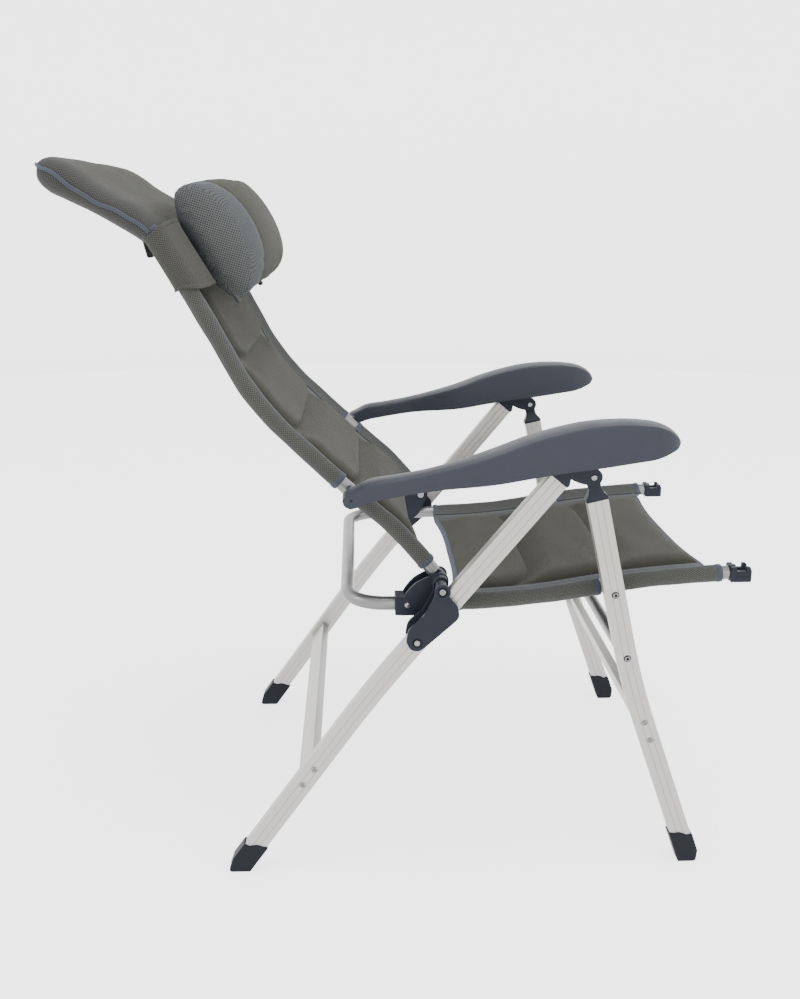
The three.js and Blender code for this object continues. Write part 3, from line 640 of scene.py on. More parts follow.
def hinge_link():
    """A boot-shaped link with two cheeks and a ringed boss at the back pivot; the recess at the rivet is a
    separate near-black ring whose colour is painted shade.
    """
    corners = offset(BACK_PIVOT, [(-10.5, 4), (-10.5, -8, 8), (-15, -15, 8), (-24, -25, 16),
                                  (-27.5, -42, 16), (-14, -55, 16)])
    corners += offset(LINK_PIVOT, [(-13, -7, 6), (-3, -14, 12), (10, -12, 12), (17, 2, 14), (13.5, 22, 20)])
    corners += offset(BACK_PIVOT, [(28, -40, 22), (12.5, -10, 20), (11, 4)])
    boot = fillet(corners, 4, 8)
    boss = [(10.5, 4), (12.2, 2), (12.2, -3), (11.4, -4.2), (8.6, -4.2), (7.6, -3.4), (7.2, -0.6),
            (4, -0.6), (4, 4)]
    return merged(plate(boot, LINK_OUTER, LINK_OUTER + LINK_PLATE),
                  plate(boot, LINK_INNER - LINK_PLATE, LINK_INNER),
                  turned(BACK_PIVOT, boss, 36, LINK_OUTER),
                  bar(BACK_PIVOT, 9, LINK_OUTER + 3, LINK_INNER - 1),
                  bar(BACK_PIVOT, 12, LINK_INNER - LINK_PLATE, BRACKET_OUTER - 0.3))


def seat_bracket():
    """A socket on the seat tube with two quarter-round plates that carry the back pivot."""
    on_tube = (BACK_PIVOT[0], SEAT_LINE[-1][1])
    shoulder = arc(BACK_PIVOT, 13.5, 215, 78, 16)
    slope = offset(BACK_PIVOT, [(22, 5.5), (41, -6), (54, -22), (61, -36)])
    slope = smooth_line([shoulder[-1], *slope], 16)
    heel = smooth_line([*offset(on_tube, [(20, -13)]), *offset(BACK_PIVOT, [(3, -38), (-6, -20)])], 8)
    outline = np.vstack([shoulder, slope[1:], offset(on_tube, [(61, -15), (26, -15)]), heel])
    socket = fillet(offset(on_tube, [(34, -15), (70, -15), (70, 15.5), (34, 15.5)]), 2)
    ring = [(13.5, 2), (13.5, -2), (12.6, -2.8), (9, -2.8), (8, 2)]
    return merged(plate(outline, BRACKET_OUTER, BRACKET_OUTER + 4.5),
                  plate(outline, BRACKET_INNER - 4.5, BRACKET_INNER),
                  plate(socket, BRACKET_OUTER + 1, BRACKET_INNER - 1),
                  turned(BACK_PIVOT, ring, 32, BRACKET_OUTER))


link_rivet = merged(dome(LINK_PIVOT, LINK_OUTER + 0.1, 4.9, 2.4),
                    bar(LINK_PIVOT, 4.9, LINK_INNER - 0.5, LINK_INNER + 2.2))
# A near-black dished ring round the link rivet's head: the recess there, its darkness painted shade.
rivet_painted_shade = turned(LINK_PIVOT, [(7.8, 0.5), (7.6, -0.9), (6.9, -1.1), (5.4, -0.1), (0, 0)], 32,
                    LINK_OUTER)
bracket_rivet = dome(offset(BACK_PIVOT, [(51, -39.5)])[0], BRACKET_OUTER + 0.1, 4.4, 2.2)
back_pin = merged(ringed_head(BACK_PIVOT, LINK_OUTER - 0.5, 5.4),
                  bar(BACK_PIVOT, 4, LINK_OUTER, BRACKET_INNER + 1),
                  bar(BACK_PIVOT, 6.5, BRACKET_INNER, BRACKET_INNER + 2.5))
pair("visual_hinge_link", hinge_link(), GREY, "links", "grey_plastic", ["hinge_link"], bevel=1.1)
pair("visual_seat_bracket", seat_bracket(), GREY, "seat", "grey_plastic", ["seat_bracket"], bevel=0.9)
pair("visual_link_rivet", link_rivet, STEEL, "rear_frame", "steel", ["link_rivet"])
pair("link_rivet_seat", rivet_painted_shade, FOOT, "links", "foot_plastic")
pair("visual_bracket_rivet", bracket_rivet, STEEL, "seat", "steel", ["bracket_rivet"])
pair("visual_back_pivot_pin", back_pin, STEEL, "back_pins", "steel", ["back_pivot_pin"])


# ---- tubes
def corner_points(radius):
    """Offsets (inward, along) round a tube's corner."""
    turns = np.radians(np.linspace(0, 90, 12))[1:]
    return [(radius * (1 - math.cos(a)), radius * math.sin(a)) for a in turns]


def mirrored_path(half):
    half = np.array(half)
    return np.vstack([half, half[::-1] * np.array([-1, 1, 1])])


def seat_path():
    side = side_view(smooth_line(SEAT_LINE, 60), TUBE_X).tolist()
    bend_y = SEAT_REAR_Y - SEAT_CORNER_R
    for inward, forward in corner_points(SEAT_CORNER_R):
        side.append((TUBE_X + inward, bend_y + forward, SEAT_LINE[-1][1]))
    return respaced(mirrored_path(side), 220)


def back_path():
    side = side_view(smooth_line(BACK_LINE, 90), TUBE_X).tolist()
    start = np.array(BACK_LINE[-1])
    lean = unit(np.array(BACK_CROSS) - start)
    bend = np.array(BACK_CROSS) - lean * BACK_CORNER_R
    for inward, forward in corner_points(BACK_CORNER_R):
        side.append((TUBE_X + inward, *(bend + lean * forward)))
    return respaced(mirrored_path(side), 260)


piece("visual_seat_tube", sweep(seat_path(), circle(TUBE_R, 32)), TUBING, "seat", "aluminium",
      replaces=["seat_tube"])
piece("visual_back_tube", sweep(back_path(), circle(TUBE_R, 32), up=(1.0, 0.0, 0.0)), TUBING, "backrest",
      "aluminium", replaces=["back_tube"])


def back_eye():
    """A plastic eye plugged in the back tube's lower end."""
    lean = unit(np.array(BACK_LINE[1]) - np.array(BACK_LINE[0]))
    outline = np.vstack([arc(BACK_PIVOT, 11.5, 140, 330, 22),
                         leaning(BACK_LINE[0], lean, [(0.2, -9.5), (0.2, 9.5)])])
    return plate(outline, TUBE_X - 9, TUBE_X + 9)


pair("visual_back_eye", back_eye(), GREY, "backrest", "grey_plastic", ["back_eye"], bevel=1.0)


def seat_clip():
    """An open-topped snap clip with ribs along its sides."""
    tip, z = SEAT_LINE[0]
    corner = (tip - 34, z)
    cheek = fillet(offset(corner, [(0, -12.5, 2), (33, -12.5, 2), (33, 12.5, 3), (25, 12.5, 1),
                                   (24, 5.5, 1), (9, 5.5, 1), (9, 12.5, 1), (3, 12.5, 2), (0, 6, 2)]))
    floor = fillet(offset(corner, [(1, -13), (32, -13), (32, -5), (1, -5)]), 1)
    rib = fillet(offset(corner, [(2, -6.5), (25, -6.5), (25, -3.5), (2, -3.5)]), 0.8)
    rings = []
    for r, y in ((9, -12), (13.2, -11), (13.2, -1.5), (11.5, -0.4)):
        across, up = circle(r, 32, (TUBE_X, z)).T
        rings.append(np.column_stack([across, np.full(len(up), tip + y), up]))
    shapes = [skin(np.stack(rings)), plate(floor, TUBE_X - 12, TUBE_X + 12)]
    for inner, outer in ((7, 13.5), (-13.5, -7)):
        shapes.append(plate(cheek, TUBE_X + inner, TUBE_X + outer))
    for reach in (-14.3, 12.5):
        for raised in (0, 6.5):
            shapes.append(plate(rib + np.array([0, raised]), TUBE_X + reach, TUBE_X + reach + 1.8))
    return merged(*shapes)


pair("visual_seat_clip", seat_clip(), GREY, "seat", "grey_plastic", ["seat_clip"], bevel=0.5)


# ---- slings between the tubes
WEB_EDGE = -TUBE_X - SLEEVE_TAIL + 4.5   # the web's cut edge, sewn inside the sleeves' tails
WEB_UNDER = -4.0                         # underside of the web, below the tubes' middle line
SEAM_HIGH = -1.0
PANEL_HIGH = 13.0                        # how far the padding stands above a seam
LEDGE = 2.4                              # how soon the padding rises behind a seam
FIRST_LEDGE = 9.0                        # and behind the sling's first edge
HEM_WIDE = 9.0
SEAT_SIDE = smooth_line(SEAT_LINE, 200)
BACK_SIDE = smooth_line(BACK_LINE, 300)


def seat_distance(y):
    """Distance along the seat's side from its front end, at one y."""
    return float(np.interp(y, SEAT_SIDE[:, 0], lengths(SEAT_SIDE)))


def smooth_step(t):
    t = np.clip(t, 0, 1)
    return t * t * (3 - 2 * t)


def seam_curve(centre, side, start=95.0, power=2.5):
    """A seam across the web: straight in the middle, turned along the web near the side strips."""
    def distance(x):
        t = np.clip((np.abs(x) - start) / (STRIP_X - start), 0, 1)
        return centre + (side - centre) * t**power
    return distance


ROW_SHARES = np.concatenate([[0, 0.012, 0.028, 0.05, 0.08, 0.115], np.linspace(0.16, 0.9, 20),
                             [0.94, 0.97, 0.988]])
HALF_COLUMNS = np.concatenate([
    np.linspace(0, 150, 22), [160, 168, 175, 181, 186, 190, 193, STRIP_X, 197, 200],
    np.linspace(205, WEB_EDGE, 6)])
COLUMNS = np.concatenate([np.linspace(0, 150, 22), [160, 168, 175, 181, 186, 190, 193, STRIP_X, 197, 200],
                               np.linspace(205, WEB_EDGE, 6)])
COLUMNS = np.concatenate([-HALF_COLUMNS[:0:-1], HALF_COLUMNS])


def web_rows(edges):
    """Distances along the sling by row and column, shares across each cell and the cells' lengths."""
    at_columns = [edge(COLUMNS) for edge in edges]
    rows = []
    for low, high in zip(at_columns[:-1], at_columns[1:]):
        for share in ROW_SHARES:
            rows.append((low + (high - low) * share, np.full(len(COLUMNS), share), high - low))
    rows.append((at_columns[-1], np.ones(len(COLUMNS)), high - low))
    return (np.array(part) for part in zip(*rows))


def raised(line, distance, height):
    """Points at a height above a side-view line, and the line's direction under them."""
    lean = at(line, distance, np.gradient(line, lengths(line), axis=0))
    normal = np.stack([-lean[..., 1], lean[..., 0]], axis=-1)
    return at(line, distance) + normal * height[..., None], lean


def web_surface(line, distance, height):
    """Points at a height above a side-view line, in every row and column."""
    x = np.broadcast_to(COLUMNS, distance.shape)
    return np.concatenate([x[..., None], raised(line, distance, height)[0]], axis=-1)


def panel_height(distance, share, cell, first_edge):
    """Padding between the seams: a crisp ledge at the lower seam and a long slope to the upper one."""
    soft_start = distance - first_edge < 60
    rise = 1 - np.exp(-share * cell / np.where(soft_start, FIRST_LEDGE, LEDGE))
    fall = smooth_step((1 - share) * cell / 52 + 0.06)
    inward = np.clip((STRIP_X - np.abs(COLUMNS)) / 30, 0, 1)
    crown = np.sqrt(1 - (1 - inward)**2)
    strip = np.clip((np.abs(COLUMNS) - STRIP_X) / (WEB_EDGE - STRIP_X), 0, 1)
    ripple = 0.35 * np.sin(distance / 9 + np.abs(COLUMNS) / 40) * crown
    return SEAM_HIGH + PANEL_HIGH * rise * fall * crown + ripple + 2.2 * np.sin(np.pi * strip)


def web(line, edges, sag):
    """The cloth between the side tubes as one closed, quilted skin, and which faces are mesh."""
    distance, share, cell = web_rows(edges)
    hang = -sag * (1 - (COLUMNS / WEB_EDGE)**2)
    above = panel_height(distance, share, cell, edges[0](COLUMNS)) + hang
    quilt = np.sin(np.pi * np.clip(share, 0, 1))**0.5
    padding = np.clip((STRIP_X - np.abs(COLUMNS)) / 40, 0, 1)
    below = WEB_UNDER + hang - 2.5 * quilt * np.sqrt(padding)
    upper = web_surface(line, distance, above)
    lower = web_surface(line, distance, below)
    rings = np.concatenate([upper, lower[:, ::-1]], axis=1)
    points, faces, weave = skin(rings, caps=False)
    around = rings.shape[1]
    for start in (0, len(points) - around):
        for j in range(around // 2 - 1):
            rim = (start + j, start + j + 1, start + around - 2 - j, start + around - 1 - j)
            faces.append(rim)
            weave += [(points[i, 0], points[i, 2]) for i in rim]
    is_mesh = [int(abs(points[list(face), 0]).mean() > STRIP_X) for face in faces]
    return (points, faces, weave), is_mesh


def hem(line, edge, inset, sag):
    """Binding tape folded over the web's cut edge."""
    x = np.linspace(-WEB_EDGE - 3, WEB_EDGE + 3, 80)
    height = (WEB_UNDER + SEAM_HIGH) / 2 + 0.6 - sag * (1 - (x / WEB_EDGE)**2)
    spots, lean = raised(line, edge(x) + inset, height)
    up = (0, -lean[0, 1], lean[0, 0])
    return sweep(np.column_stack([x, spots]), box_section(HEM_WIDE, 5.2, 2.2), up=up)


def sleeve_section(r, tail, edge=1.6):
    """A loop round the tube, drawn in to a flat tail at its inner side."""
    meet = math.degrees(math.acos(r / tail)) - 2
    loop = arc((0, 0), r, meet, 360 - meet, 30)
    return np.vstack([loop, [(tail - 7, -edge - 0.8), (tail, -edge), (tail, edge), (tail - 7, edge + 0.8)]])


def sleeve_path(line, start, end, count):
    return side_view(at(line, np.linspace(start, end, count)), TUBE_X)


def sleeve(line, start, end):
    """Cloth sewn round the tube between two openings, a little uneven along its length."""
    count = max(int((end - start) / 6), 6)
    path = sleeve_path(line, start, end, count)
    base = sleeve_section(SLEEVE_R, SLEEVE_TAIL)
    t = np.linspace(0, 1, count)
    swell = 0.35 * np.sin(t * (end - start) / 23) + 0.2 * np.sin(t * (end - start) / 9.5)
    rounds = np.linalg.norm(base, axis=1)[:, None]
    sections = np.stack([base * (1 + s / rounds) for s in swell])
    return sweep(path, sections)


def sleeve_ring(line, middle):
    """Tape bound round a sleeve's end."""
    path = sleeve_path(line, middle - HEM_WIDE / 2, middle + HEM_WIDE / 2, 8)
    grow = np.sin(np.linspace(0.15, np.pi - 0.15, 8))**0.5
    sections = [sleeve_section(SLEEVE_R + 1.2 * g, SLEEVE_TAIL + 1, 1.6 + 0.9 * g) for g in grow]
    return sweep(path, np.stack(sections))


SEAT_EDGES = (seam_curve(seat_distance(-465), seat_distance(-473), 60, 2),
              seam_curve(seat_distance(-339), seat_distance(-316)),
              seam_curve(seat_distance(-203), seat_distance(-176)),
              seam_curve(seat_distance(-80), seat_distance(-70), 60, 2))
BACK_EDGES = (seam_curve(50, 26, 120, 2), seam_curve(168, 182), seam_curve(296, 310),
              seam_curve(436, 458), seam_curve(630, 630))
SEAT_RUNS = ((seat_distance(-487), seat_distance(SEAT_PIVOT[0] - 14)),
             (seat_distance(SEAT_PIVOT[0] + 14), seat_distance(-70)))
BACK_RUNS = ((18, 174), (206, 664))
SLINGS = (("seat", "seat", SEAT_SIDE, SEAT_EDGES, SEAT_RUNS, 5.0, (("front", 0, 1.0), ("rear", -1, -1.0))),
          ("back", "backrest", BACK_SIDE, BACK_EDGES, BACK_RUNS, 3.0, (("lower", 0, 1.0),)))

for part, body, line, edges, runs, sag, hems in SLINGS:
    shape, is_mesh = web(line, edges, sag)
    panel = piece(f"visual_{part}_panel", shape, None, body, "mesh_fabric", sharp=75,
                  materials=[PANEL, MESH], choose=is_mesh, replaces=[f"{part}_sling"])
    for name, edge, inset in hems:
        tape = hem(line, edges[edge], inset, sag)
        piece(f"{part}_hem_{name}", tape, BINDING, body, "mesh_fabric", sharp=60)
    for run, (start, end) in zip(("first", "second"), runs):
        name = f"{part}_sleeve_{run}"
        pair(name, sleeve(line, start, end), MESH, body, "mesh_fabric", sharp=75)
        for tape, spot in (("start", start + 3), ("end", end - 3)):
            pair(f"{name}_{tape}_tape", sleeve_ring(line, spot), BINDING, body, "mesh_fabric", sharp=60)


# ---- padded head end
HEAD_SIDE = ((350, 974), (372, 1006), (405, 1030), (440, 1049), (476, 1069),
             (502, 1087), (529, 1101))
HEAD_TOP = ((341, 980), (362, 1016), (388, 1046), (420, 1062), (447, 1078),
            (474, 1098), (492, 1108), (514, 1113), (529, 1108))
HEAD_UNDER = ((364, 966), (392, 994), (424, 1014), (463, 1036), (497, 1052),
              (521, 1064), (533, 1078), (531, 1093))
HEAD_HALF = 270.0
HEAD_CORNER = 30.0
HEAD_ROWS = 60
HEAD_SMOOTH_X = 216.0                    # where its mesh side strips meet the smooth top


def head_half_width(t):
    late = np.clip((t - 0.8) / 0.2, 0, 1)
    early = 3.0 * smooth_step((0.22 - t) / 0.12)
    return HEAD_HALF - early - HEAD_CORNER * (1 - np.sqrt(1 - late**2 * 0.98))


def head_pad():
    """A padded pocket over the tube's bent end, crowned on top, and which of its faces are mesh."""
    side, top, under = (smooth_line(line, HEAD_ROWS) for line in (HEAD_SIDE, HEAD_TOP, HEAD_UNDER))
    across = np.sin(np.linspace(-np.pi / 2, np.pi / 2, 61))
    rings = []
    for row, t in enumerate(np.linspace(0, 1, HEAD_ROWS)):
        half = head_half_width(t)
        crown = (1 - np.abs(across)**12)**0.42
        closing = math.sqrt(max(1 - max((t - 0.96) / 0.04, 0)**2, 0))
        ripple = 1 + 0.02 * np.sin(across * 9 + t * 5)
        upper = side[row] + (top[row] - side[row]) * (crown * closing * ripple)[:, None]
        lower = side[row] + (under[row] - side[row]) * (crown * closing)[:, None]
        ring_top = np.column_stack([across * half, upper])
        ring_low = np.column_stack([across * half, lower])[::-1][1:-1]
        rings.append(np.vstack([ring_top, ring_low]))
    points, faces, weave = skin(np.stack(rings))
    is_mesh = []
    for face in faces:
        middle = points[list(face)].mean(axis=0)
        on_top = middle[2] > np.interp(middle[1], *np.transpose(HEAD_SIDE)) + 3
        is_mesh.append(int(not (on_top and abs(middle[0]) < HEAD_SMOOTH_X)))
    return (points, faces, weave), is_mesh


def head_piping():
    """A welt along the pad's sides and round its tip, pulled wavy by its stitches."""
    side = smooth_line(HEAD_SIDE, HEAD_ROWS)
    shares = np.linspace(0, 1, HEAD_ROWS)
    right = [(-head_half_width(t) - 1, *spot) for t, spot in zip(shares, side) if t > 0.17]
    path = respaced(mirrored_path(right), 260)
    d = lengths(path)
    path[:, 2] += 1.6 * np.sin(d / 19) + 0.8 * np.sin(d / 7.3)
    return sweep(path, circle(2.6, 12), up=(1, 0, 0))


head_shape, head_is_mesh = head_pad()
HEAD_PAD = piece("visual_head_pad", head_shape, None, "backrest", "pad_fabric", sharp=75,
                 materials=[PANEL, HEAD_MESH], choose=head_is_mesh, replaces=["head_pad"])
piece("head_pad_piping", head_piping(), BINDING, "backrest", "pad_fabric", sharp=60)


# ---- head cushion
CUSHION = (274.5, 1005)
CUSHION_LEAN = math.radians(28)
CUSHION_HALF = (203.0, 57.0, 95.0)       # across, through and up the back
CUSHION_UP = np.array([math.sin(CUSHION_LEAN), math.cos(CUSHION_LEAN)])
CUSHION_OUT = np.array([-CUSHION_UP[1], CUSHION_UP[0]])
CUSHION_BACK = 61.0
CUSHION_SHRINK = 6.0                     # how much smaller it is cut than it ends up
VOXEL = 5.0
PRESSURE = 4.0
SWELL_LIMIT = 9.0


def cushion_spots(out, up):
    """Side-view points some way out from the backrest and up it, from the cushion's middle."""
    return np.array(CUSHION) + np.outer(out, CUSHION_OUT) + np.outer(up, CUSHION_UP)


def bolster():
    """A stuffed roll before it is blown up: flat against the backrest and at its ends, full in front."""
    wide, back, high = np.array([CUSHION_HALF[0], CUSHION_BACK, CUSHION_HALF[2]]) - CUSHION_SHRINK
    stations = [(-1, 0.02), (-1, 0.6), (-0.998, 0.9), (-0.98, 1)]
    stations += [(t, 1) for t in np.linspace(-0.93, 0.93, 36)]
    stations += [(-t, scale) for t, scale in stations[3::-1]]
    a = np.linspace(0, 2 * np.pi, 56, endpoint=False)
    rings = []
    for t, scale in stations:
        middle = -28.0 * t**2
        front = 4.0 + (CUSHION_HALF[1] - 4) * (1 - abs(t)**3)**0.55 - CUSHION_SHRINK
        tall = high + 3.0 * t**4
        depth = np.where(np.cos(a) > 0, (front - middle) * np.abs(np.cos(a))**0.95,
                         -(back + middle) * np.abs(np.cos(a))**0.6)
        up = scale * tall * np.sign(np.sin(a)) * np.abs(np.sin(a))**0.97
        spots = cushion_spots(middle + scale * depth, up)
        rings.append(np.column_stack([np.full(len(a), t * wide), spots]))
    return skin(np.stack(rings))


def evaluated(made):
    """A mesh with the object's modifiers applied."""
    graph = bpy.context.evaluated_depsgraph_get()
    return bpy.data.meshes.new_from_object(made.evaluated_get(graph))


def stuffed(shape):
    """The shape remeshed evenly and blown up as cloth, with its faces."""
    mesh = bpy.data.meshes.new("stuffing")
    mesh.from_pydata((shape[0] * MM).tolist(), [], shape[1])
    work = linked("stuffing", mesh)
    even = work.modifiers.new("even", "REMESH")
    even.mode = "VOXEL"
    even.voxel_size = VOXEL * MM
    mesh = evaluated(work)
    work.modifiers.clear()
    work.data = mesh
    rest = np.array([v.co for v in mesh.vertices])
    swell = work.modifiers.new("swell", "CLOTH")
    swell.settings.effector_weights.gravity = 0.0
    swell.settings.use_pressure = True
    swell.settings.uniform_pressure_force = PRESSURE
    swell.settings.quality = 5
    swell.collision_settings.use_collision = False
    for frame_number in range(1, 21):
        bpy.context.scene.frame_set(frame_number)
    moved = np.array([v.co for v in evaluated(work).vertices]) - rest
    reach = np.linalg.norm(moved, axis=1)[:, None]
    rest = rest + moved * np.minimum(1, SWELL_LIMIT * MM / np.maximum(reach, 1e-9))
    bpy.context.scene.frame_set(1)
    faces = [tuple(face.vertices) for face in mesh.polygons]
    bpy.data.objects.remove(work)
    return rest / MM, faces


def cushion_frame(points):
    """Each point's distance across, out from the back and up the back, from the cushion's middle."""
    side = points[:, 1:] - np.array(CUSHION)
    return points[:, 0], side @ CUSHION_OUT, side @ CUSHION_UP


def seam_x(out, up):
    """Where the seam between the smooth middle and the mesh ends runs: it bows towards the back."""
    return 158.0 - 12.0 * np.cos(np.arctan2(up / CUSHION_HALF[2], out / CUSHION_HALF[1]))


def cushion_shape():
    """The blown-up bolster with its seams drawn in, and which of its faces are mesh."""
    points, faces = stuffed(bolster())
    x, out, up = cushion_frame(points)
    seam = np.abs(x) - seam_x(out, up)
    end_seam = np.abs(x) - (194.0 - 0.0004 * up**2)
    in_front = smooth_step((out + 40) / 15)
    dip = 1.2 * np.exp(-(seam / 3)**2) + 2.2 * in_front * np.exp(-(end_seam / 2.6)**2)
    puckers = 0.7 * np.exp(-(seam / 16)**2) * np.sin(np.arctan2(up, out) * 26)
    shift = -(dip + puckers) / np.maximum(np.hypot(out, up), 20)
    points[:, 1:] += (points[:, 1:] - np.array(CUSHION)) * shift[:, None]
    weave, is_mesh = [], []
    for face in faces:
        corners = points[list(face)]
        fx, fo, fu = cushion_frame(corners)
        normal = np.cross(corners[1] - corners[0], corners[2] - corners[0])
        on_end = abs(normal[0]) > 0.72 * np.linalg.norm(normal)
        around = np.unwrap(np.arctan2(fu, fo)) * 78.0
        weave += [(fo[i], fu[i]) if on_end else (around[i], fx[i]) for i in range(len(face))]
        is_mesh.append(int(abs(fx).mean() > seam_x(fo, fu).mean()))
    return (points, faces, weave), is_mesh


def tuft(x, out, up):
    """The gathered corner where the end's seams meet."""
    a = np.linspace(0, 2 * np.pi, 20, endpoint=False)
    rings = []
    for r, drop in ((5, -9), (4.8, -4), (4.2, 0), (3.4, 3), (4.6, 6), (2.6, 9), (0.6, 9.8)):
        flute = r * (1 + 0.14 * np.cos(a * 4))
        spots = cushion_spots(out + flute * np.sin(a), np.full(len(a), up - drop))
        rings.append(np.column_stack([x + flute * np.cos(a), spots]))
    return skin(np.stack(rings))


cushion, cushion_is_mesh = cushion_shape()
CUSHION_PIECE = piece("visual_head_cushion", cushion, None, "headrest", "pad_fabric", sharp=80,
                      materials=[PANEL, END_MESH], choose=cushion_is_mesh, replaces=["head_cushion"])
CUSHION_PIECE.modifiers.new("round", "SUBSURF").render_levels = 1
pair("cushion_tuft", tuft(-189.0, -34.0, -87.0), END_MESH, "headrest", "pad_fabric", sharp=80)


# ---- band that holds the cushion
BAND_MIDDLE = np.array([348.5, 970.5])
BAND_UP = unit(np.array([0.5, math.cos(math.radians(30))]))
BAND_OUT = np.array([-BAND_UP[1], BAND_UP[0]])
BAND_HALF = 42.0
BAND_THICK = 1.8
BAND_WRAP = 17.0
BAND_HEM = 2.5                           # from the band's edge to its hem's middle
BAND_FAN = (0.42, 0.16)                  # how much wider the lower and upper halves are at the cushion


def band_line():
    """The loop in the plane square to the backrest, as (x, outwards) points."""
    front = [(0, 15), (-60, 15), (-130, 15.5), (-172, 20), (-196, 29), (-208, 30.5),
             (-226, 25)]
    wrap = arc((TUBE_X, 0), BAND_WRAP, 112, 262, 14)
    half = np.vstack([front, wrap, [(-200, -18), (-120, -18), (-40, -18)]])
    other = half[1:][::-1] * np.array([-1, 1])
    loop = np.vstack([half, other, half[:1]])
    return respaced(loop, 300)[:-1]


def band_spot(line, up):
    """Loop points in space, some way up or down the band."""
    ripple = 0.5 * np.sin(line[:, 0] / 23 + up / 30)
    fan = BAND_FAN[0 if up < 0 else 1] * smooth_step((line[:, 1] + 8) / 34)
    spots = BAND_MIDDLE + (line[:, 1] + ripple)[:, None] * BAND_OUT + (up * (1 + fan))[:, None] * BAND_UP
    return np.column_stack([line[:, 0], spots])


def grown(line, by):
    """A closed loop moved outwards."""
    ahead = np.roll(line, -1, axis=0) - np.roll(line, 1, axis=0)
    outward = np.column_stack([ahead[:, 1], -ahead[:, 0]])
    outward /= np.linalg.norm(outward, axis=1)[:, None]
    inside = np.sign((outward * line).sum())
    return line + outward * inside * by


def band():
    line = band_line()
    ups = np.linspace(-BAND_HALF, BAND_HALF, 15)
    rows = [band_spot(grown(line, BAND_THICK / 2), up) for up in ups]
    rows += [band_spot(grown(line, -BAND_THICK / 2), up) for up in ups[::-1]]
    rings = np.stack(rows).transpose(1, 0, 2)
    closed = np.concatenate([rings, rings[:1]], axis=0)
    points, faces, weave = skin(closed, caps=False)
    count = rings.shape[0] * rings.shape[1]
    faces = [tuple(i % count for i in face) for face in faces]
    return points[:count], faces, weave


def band_edge(up):
    line = band_spot(band_line(), up)
    path = np.vstack([line, line[:1]])
    return sweep(path, box_section(6.5, 3.2, 1.4)[:, ::-1], up=(0, *BAND_UP), caps=False)


BAND = piece("visual_head_band", band(), BAND_MESH, "headrest", "mesh_fabric", sharp=60,
             replaces=["head_band"])
BAND_HEMS = [piece(f"head_band_hem_{name}", band_edge(up), BAND_MESH, "headrest", "mesh_fabric", sharp=60)
             for name, up in (("lower", BAND_HEM - BAND_HALF), ("upper", BAND_HALF - BAND_HEM))]
loop_length = lengths(np.vstack([band_line(), band_line()[:1]]))[-1]


def strap_tab():
    """The short end of the fastening strap behind the band."""
    corners = ((2, 0), (-5, 2), (-11, -19), (-8, -22), (2, -18))
    start = BAND_MIDDLE + BAND_UP * 38 - BAND_OUT * 16
    outline = fillet([start + BAND_OUT * out + BAND_UP * up for out, up in corners], 1.5)
    return plate(outline, TUBE_X + 2, TUBE_X + 27)


piece("head_band_strap", strap_tab(), BLACK_WEB, "headrest", "mesh_fabric", bevel=0.5)


# ---- armrests
ARM_OUTER = -330.0
ARM_INNER = -272.0
LOBE_INNER = -288.5
LOBE_R = 13.0
ARM_WALL = 3.0
ARM_NOSE_Y = -392.5
ARM_UNDER = ((107, 630), (105, 623), (94, 617), (80, 622), (70, 626), (30, 634.5),
             (-21, 642.5), (-125, 652.5), (-178, 661.5), (-219, 668), (-267, 674),
             (-330, 683.5), (-352, 687), (-376, 695.5), (-388, 702), (ARM_NOSE_Y, 709))
ARM_TOP = ((107, 630), (105, 634.5), (99, 640), (88, 645.5), (70, 655), (30, 662),
           (-21, 671.5), (-60, 681), (-123, 700), (-166, 716), (-210, 729),
           (-253, 738), (-297, 741.5), (-334, 740.5), (-362, 736), (-379, 728),
           (-389, 718), (ARM_NOSE_Y, 709))


def level(outline, y):
    """Height of an outline that runs forward, at each y."""
    line = smooth_line(outline, 400)[::-1]
    return np.interp(y, line[:, 0], line[:, 1])


